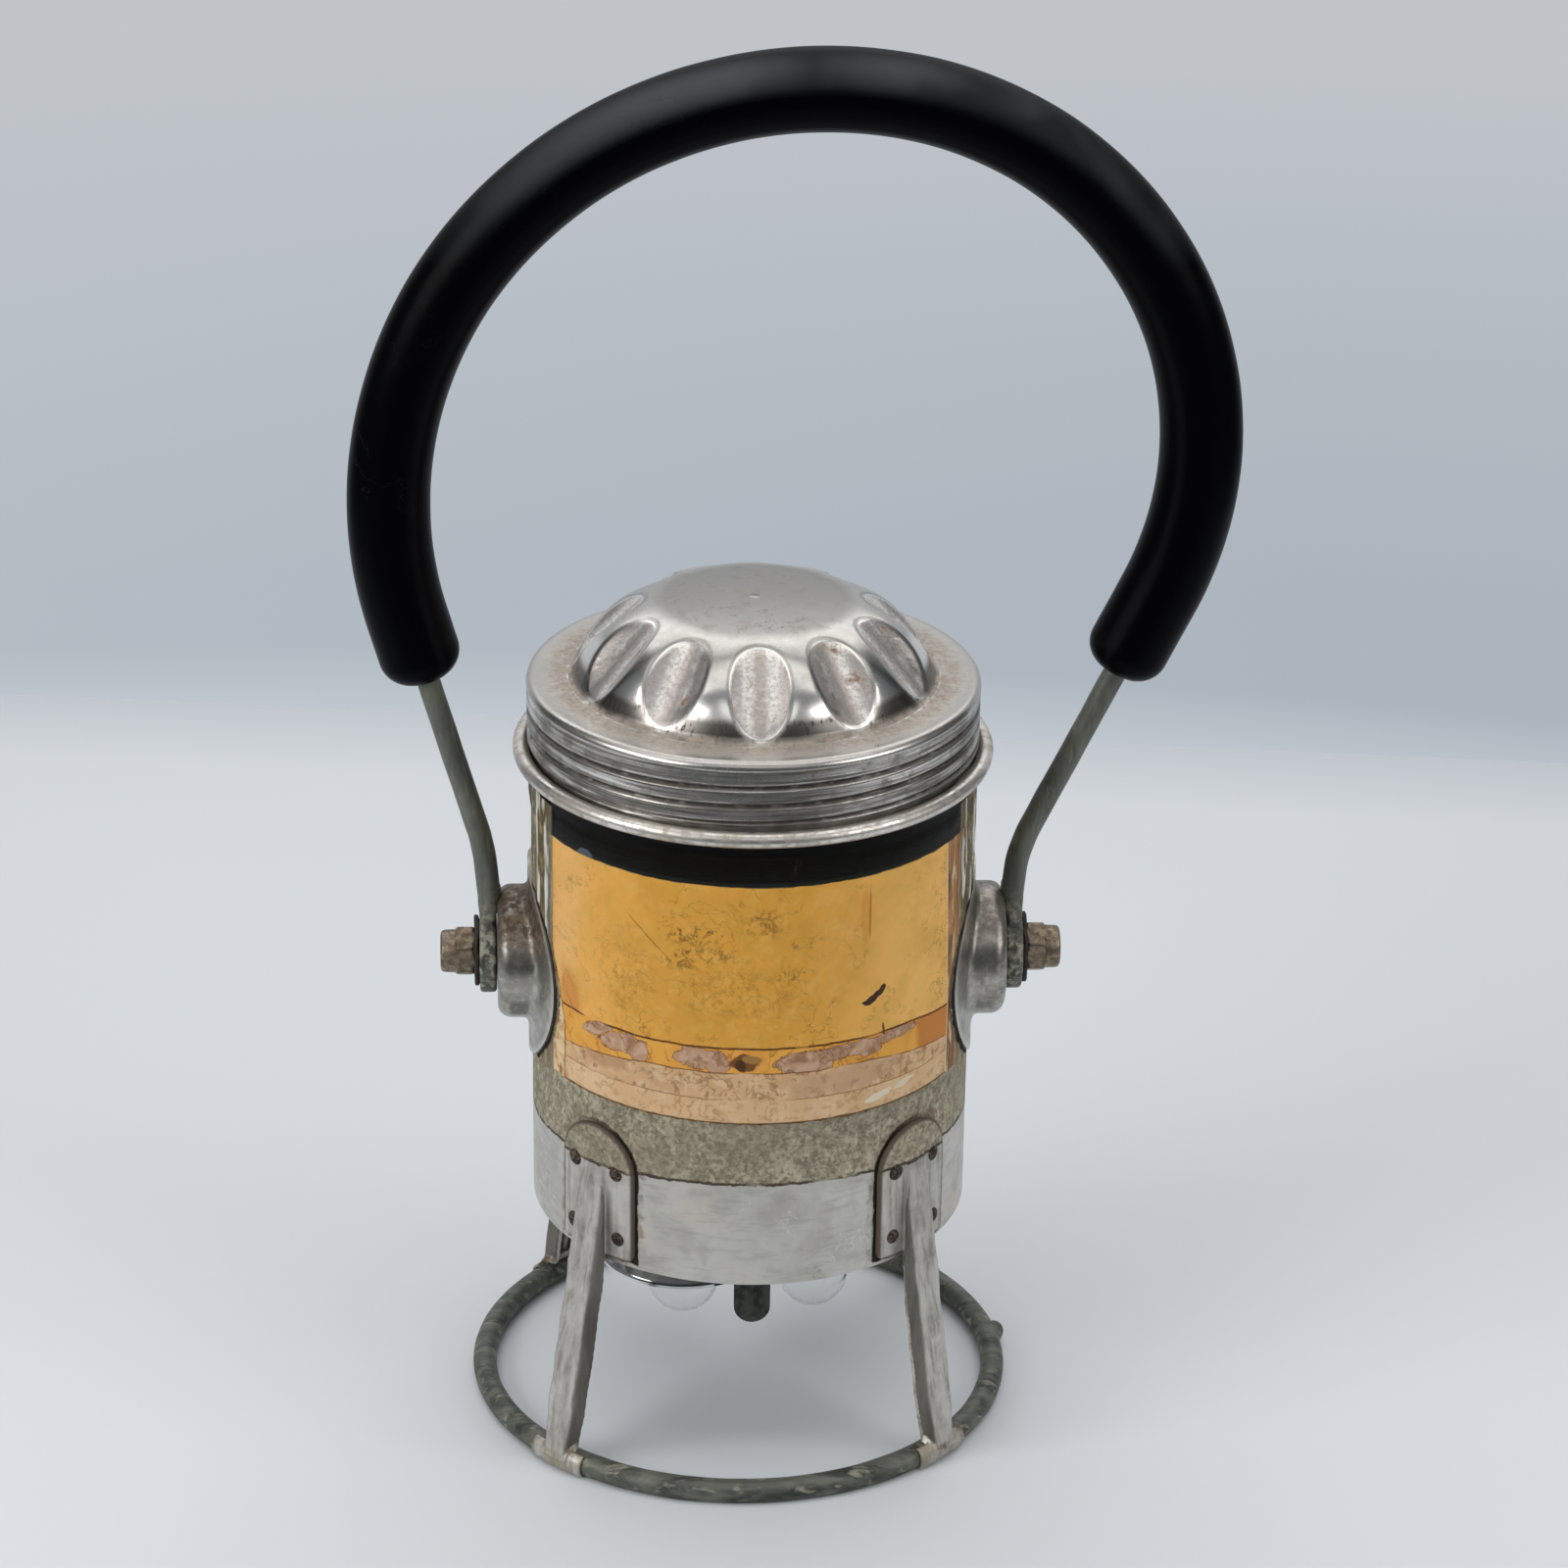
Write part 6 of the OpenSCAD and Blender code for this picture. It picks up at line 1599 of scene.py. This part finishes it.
def make_band():
    """Two turns of black tape under the bead, following the tube's flare."""
    profile = [(47.55, 141.6), (47.78, 141.6), (47.82, 142.5), (47.88, 142.7), (47.9, 143.4), (47.98, 143.6)]
    profile += [(48.0, 146.8), (47.95, 147.0), (47.97, 148.8), (48.45, 150.7), (48.15, 150.8), (47.6, 148.8)]
    obj = lathe("tape_turns", profile, 300, closed=True)
    points = read_points(obj.data)
    wave = ripple(np.arctan2(points[:, 1], points[:, 0]), 3, 0.0)
    points[:, 2] += 0.25 * wave * (points[:, 2] < 145)
    write_points(obj.data, points)
    smooth(obj, 50)
    place(obj, "root", "black_tape", black_tape, "tape_band")


# Lamps


def make_globe(x, low, name, node):
    """A blown globe with its rounded tip, on its neck."""
    r, wall, neck, neck_l = 7.85, 0.5, 4.1, 23
    mid = low + r
    join = math.degrees(math.acos(neck / r))
    outer = [(0, low), (0.5, low + 0.02)]
    outer += arc(0, mid, r, -84, join - 8, 40).tolist()
    outer.append((neck + 0.25, mid + r * math.sin(math.radians(join)) + 0.4))
    outer += [(neck, mid + 8.6), (neck, low + neck_l)]
    inner = [(neck - wall, low + neck_l), (neck - wall, mid + 8.6)]
    inner += arc(0, mid, r - wall, join - 8, -90, 40).tolist()
    obj = lathe(name, outer + inner, 72)
    obj.data.transform(Matrix.Translation(Vector((x, LAMP_Y, 0)) * MM))
    smooth(obj)
    place(obj, "root", "glass", bulb_glass, node)


def finish_nodes():
    """The carried-over solids get their finishes."""
    wanted = {
        inner_tin: ("threaded_neck", "lamp_pan"),
        brass: (
            "pressure_plate", "battery_terminals", "centre_contact", "ring_contact", "board_spacers",
            "socket_left", "socket_right", "socket_contacts", "bulb_left_base", "bulb_right_base",
            "switch_wiper", "switch_contacts",
        ),
        fibre: ("contact_board", "battery_lid", "socket_insulators"),
        jacket: ("battery_case",),
        cells: ("battery_cells",),
        spring_steel: ("spring_seat", "pressure_spring"),
        nut_metal: ("board_screws", "switch_pivot"),
        lever_steel: ("switch_lever",),
        mirror_tin: ("reflector",),
        filament_wire: ("bulb_left_filament", "bulb_right_filament"),
        gasket_black: ("cap_gasket",),
    }
    for material, names in wanted.items():
        for name in names:
            mesh = NODES[name].data
            mesh.materials.clear()
            mesh.materials.append(material)


make_cap()
make_body()
make_grip()
make_bail_wire()
make_ring()
for side, word in ((-1, "left"), (1, "right")):
    make_ear(side, f"ear_cup_{word}", f"ear_{word}")
    make_nut(side, f"nut_{word}", f"stop_nut_{word}")
    make_washer(side, f"thin_washer_{word}", f"washer_{word}")
    make_bolt(side, f"bolt_{word}", f"pivot_bolt_{word}")
for word, angle in LEG_ANGLES.items():
    make_leg(f"pressed_leg_{word}", f"leg_{word}", angle)
make_rivets()
make_wraps()
make_band()
make_globe(-LAMP_X, 17.0, "globe_left", "bulb_left_glass")
make_globe(LAMP_X, 18.2, "globe_right", "bulb_right_glass")
finish_nodes()


# Studio and camera


def make_stage():
    """A pale floor that darkens towards its back edge, where the room's pale side begins."""
    half, front, back, turn = 0.5, -0.3, 0.36, math.radians(7.3)
    points = np.array([(x, y, 0.0) for y in (front, 0.0, back) for x in (-half, half)]) / MM
    floor = new_object("floor", points, grid_faces(3, 2, False))
    floor.data.transform(Matrix.Rotation(-turn, 4, "Z"))
    s = Surface("floor_paper", "dce0e4", 0.8)
    g = s.g
    far = g.plus(g.times(s.axis(0), math.sin(turn)), g.times(s.axis(1), math.cos(turn)))
    s.coat(g.span(far, back - 0.045, back), "cbd0d6", 0.8)
    s.bump(g.noise(s.at, 300, 2.0), 0.02, 0.2)
    floor.data.materials.append(s.done())


def area_light(name, spot, target_z, size, power, color):
    """A rectangular lamp that looks at a height on the lantern's axis."""
    data = bpy.data.lights.new(name, "AREA")
    data.shape = "RECTANGLE"
    data.size, data.size_y = size
    data.energy = power
    data.color = color
    lamp = link(name, data)
    lamp.location = spot
    lamp.rotation_euler = (Vector((0, 0, target_z)) - Vector(spot)).to_track_quat("-Z", "Y").to_euler()


def make_lights():
    """A dim room with a pale side behind the lantern, and five soft lamps."""
    world = bpy.data.worlds.new("room")
    world.use_nodes = True
    g = Graph(world.node_tree)
    x, y, z = g.parts(g.add("TexCoord", out="Generated"))
    pale = g.times(g.span(g.math("DIVIDE", y, g.length(x, y)), 0.5, 0.72), g.band(z, -0.62, 0.56, 0.06))
    tone = g.mix(g.span(z, -0.37, -0.27), rgb("b5bdc5"), rgb("c1c5ca"))
    darker = g.times(g.span(x, -0.15, 0.15), g.span(z, -0.27, -0.37, 0.0, 0.8))
    tone = g.mix(darker, tone, rgb("aab3bc"))
    floor_side = g.span(g.plus(z, g.times(x, 0.031)), -0.385, -0.3996)
    tone = g.mix(floor_side, tone, rgb("c4cbd2"))
    g.put(world.node_tree.nodes["Background"].inputs["Color"], g.mix(pale, (0.1, 0.108, 0.117, 1.0), tone))
    bpy.context.scene.world = world
    white, warm = (1.0, 1.0, 0.99), (1.0, 0.99, 0.98)
    area_light("overhead", (0.0, 0.0, 1.2), 0, (1.6, 0.9), 6.0, white)
    area_light("back", (0.0, 0.58, 0.82), 0.16, (1.2, 0.5), 2.8, (1.0, 1.0, 1.0))
    area_light("front", (0.0, -1.3, 1.25), 0.1, (1.2, 0.7), 2.3, white)
    area_light("left_front", (-0.98, -0.6, 0.66), 0.1, (0.8, 0.6), 7.4, warm)
    area_light("right_front", (0.98, -0.6, 0.66), 0.1, (0.8, 0.6), 4.3, warm)


def make_camera():
    """The photograph's view: fitted distance, height, pitch, heading and roll."""
    focal, picture, sensor, away, height = 5172.1, 1600, 36, 991.4, 587.8
    pitch, yaw, roll, turn = 0.4211, 0.0068, 0.0141, math.radians(-2.5)
    c, s = math.cos(yaw), math.sin(yaw)
    right = Vector((c, -s, 0))
    up = Vector((math.sin(pitch) * s, math.sin(pitch) * c, math.cos(pitch)))
    ahead = Vector((math.cos(pitch) * s, math.cos(pitch) * c, -math.sin(pitch)))
    rolled_right = right * math.cos(roll) + up * math.sin(roll)
    rolled_up = up * math.cos(roll) - right * math.sin(roll)
    spin = Matrix.Rotation(turn, 3, "Z")
    axes = Matrix((spin @ rolled_right, spin @ rolled_up, -(spin @ ahead))).transposed()
    data = bpy.data.cameras.new("camera")
    data.sensor_width = sensor
    data.lens = focal * sensor / picture
    data.clip_start, data.clip_end = 0.05, 20
    camera = link("camera", data)
    camera.matrix_world = Matrix.Translation(spin @ Vector((0, -away, height)) * MM) @ axes.to_4x4()
    bpy.context.scene.camera = camera


make_stage()
make_lights()
make_camera()
bpy.context.scene.view_settings.view_transform = "Standard"
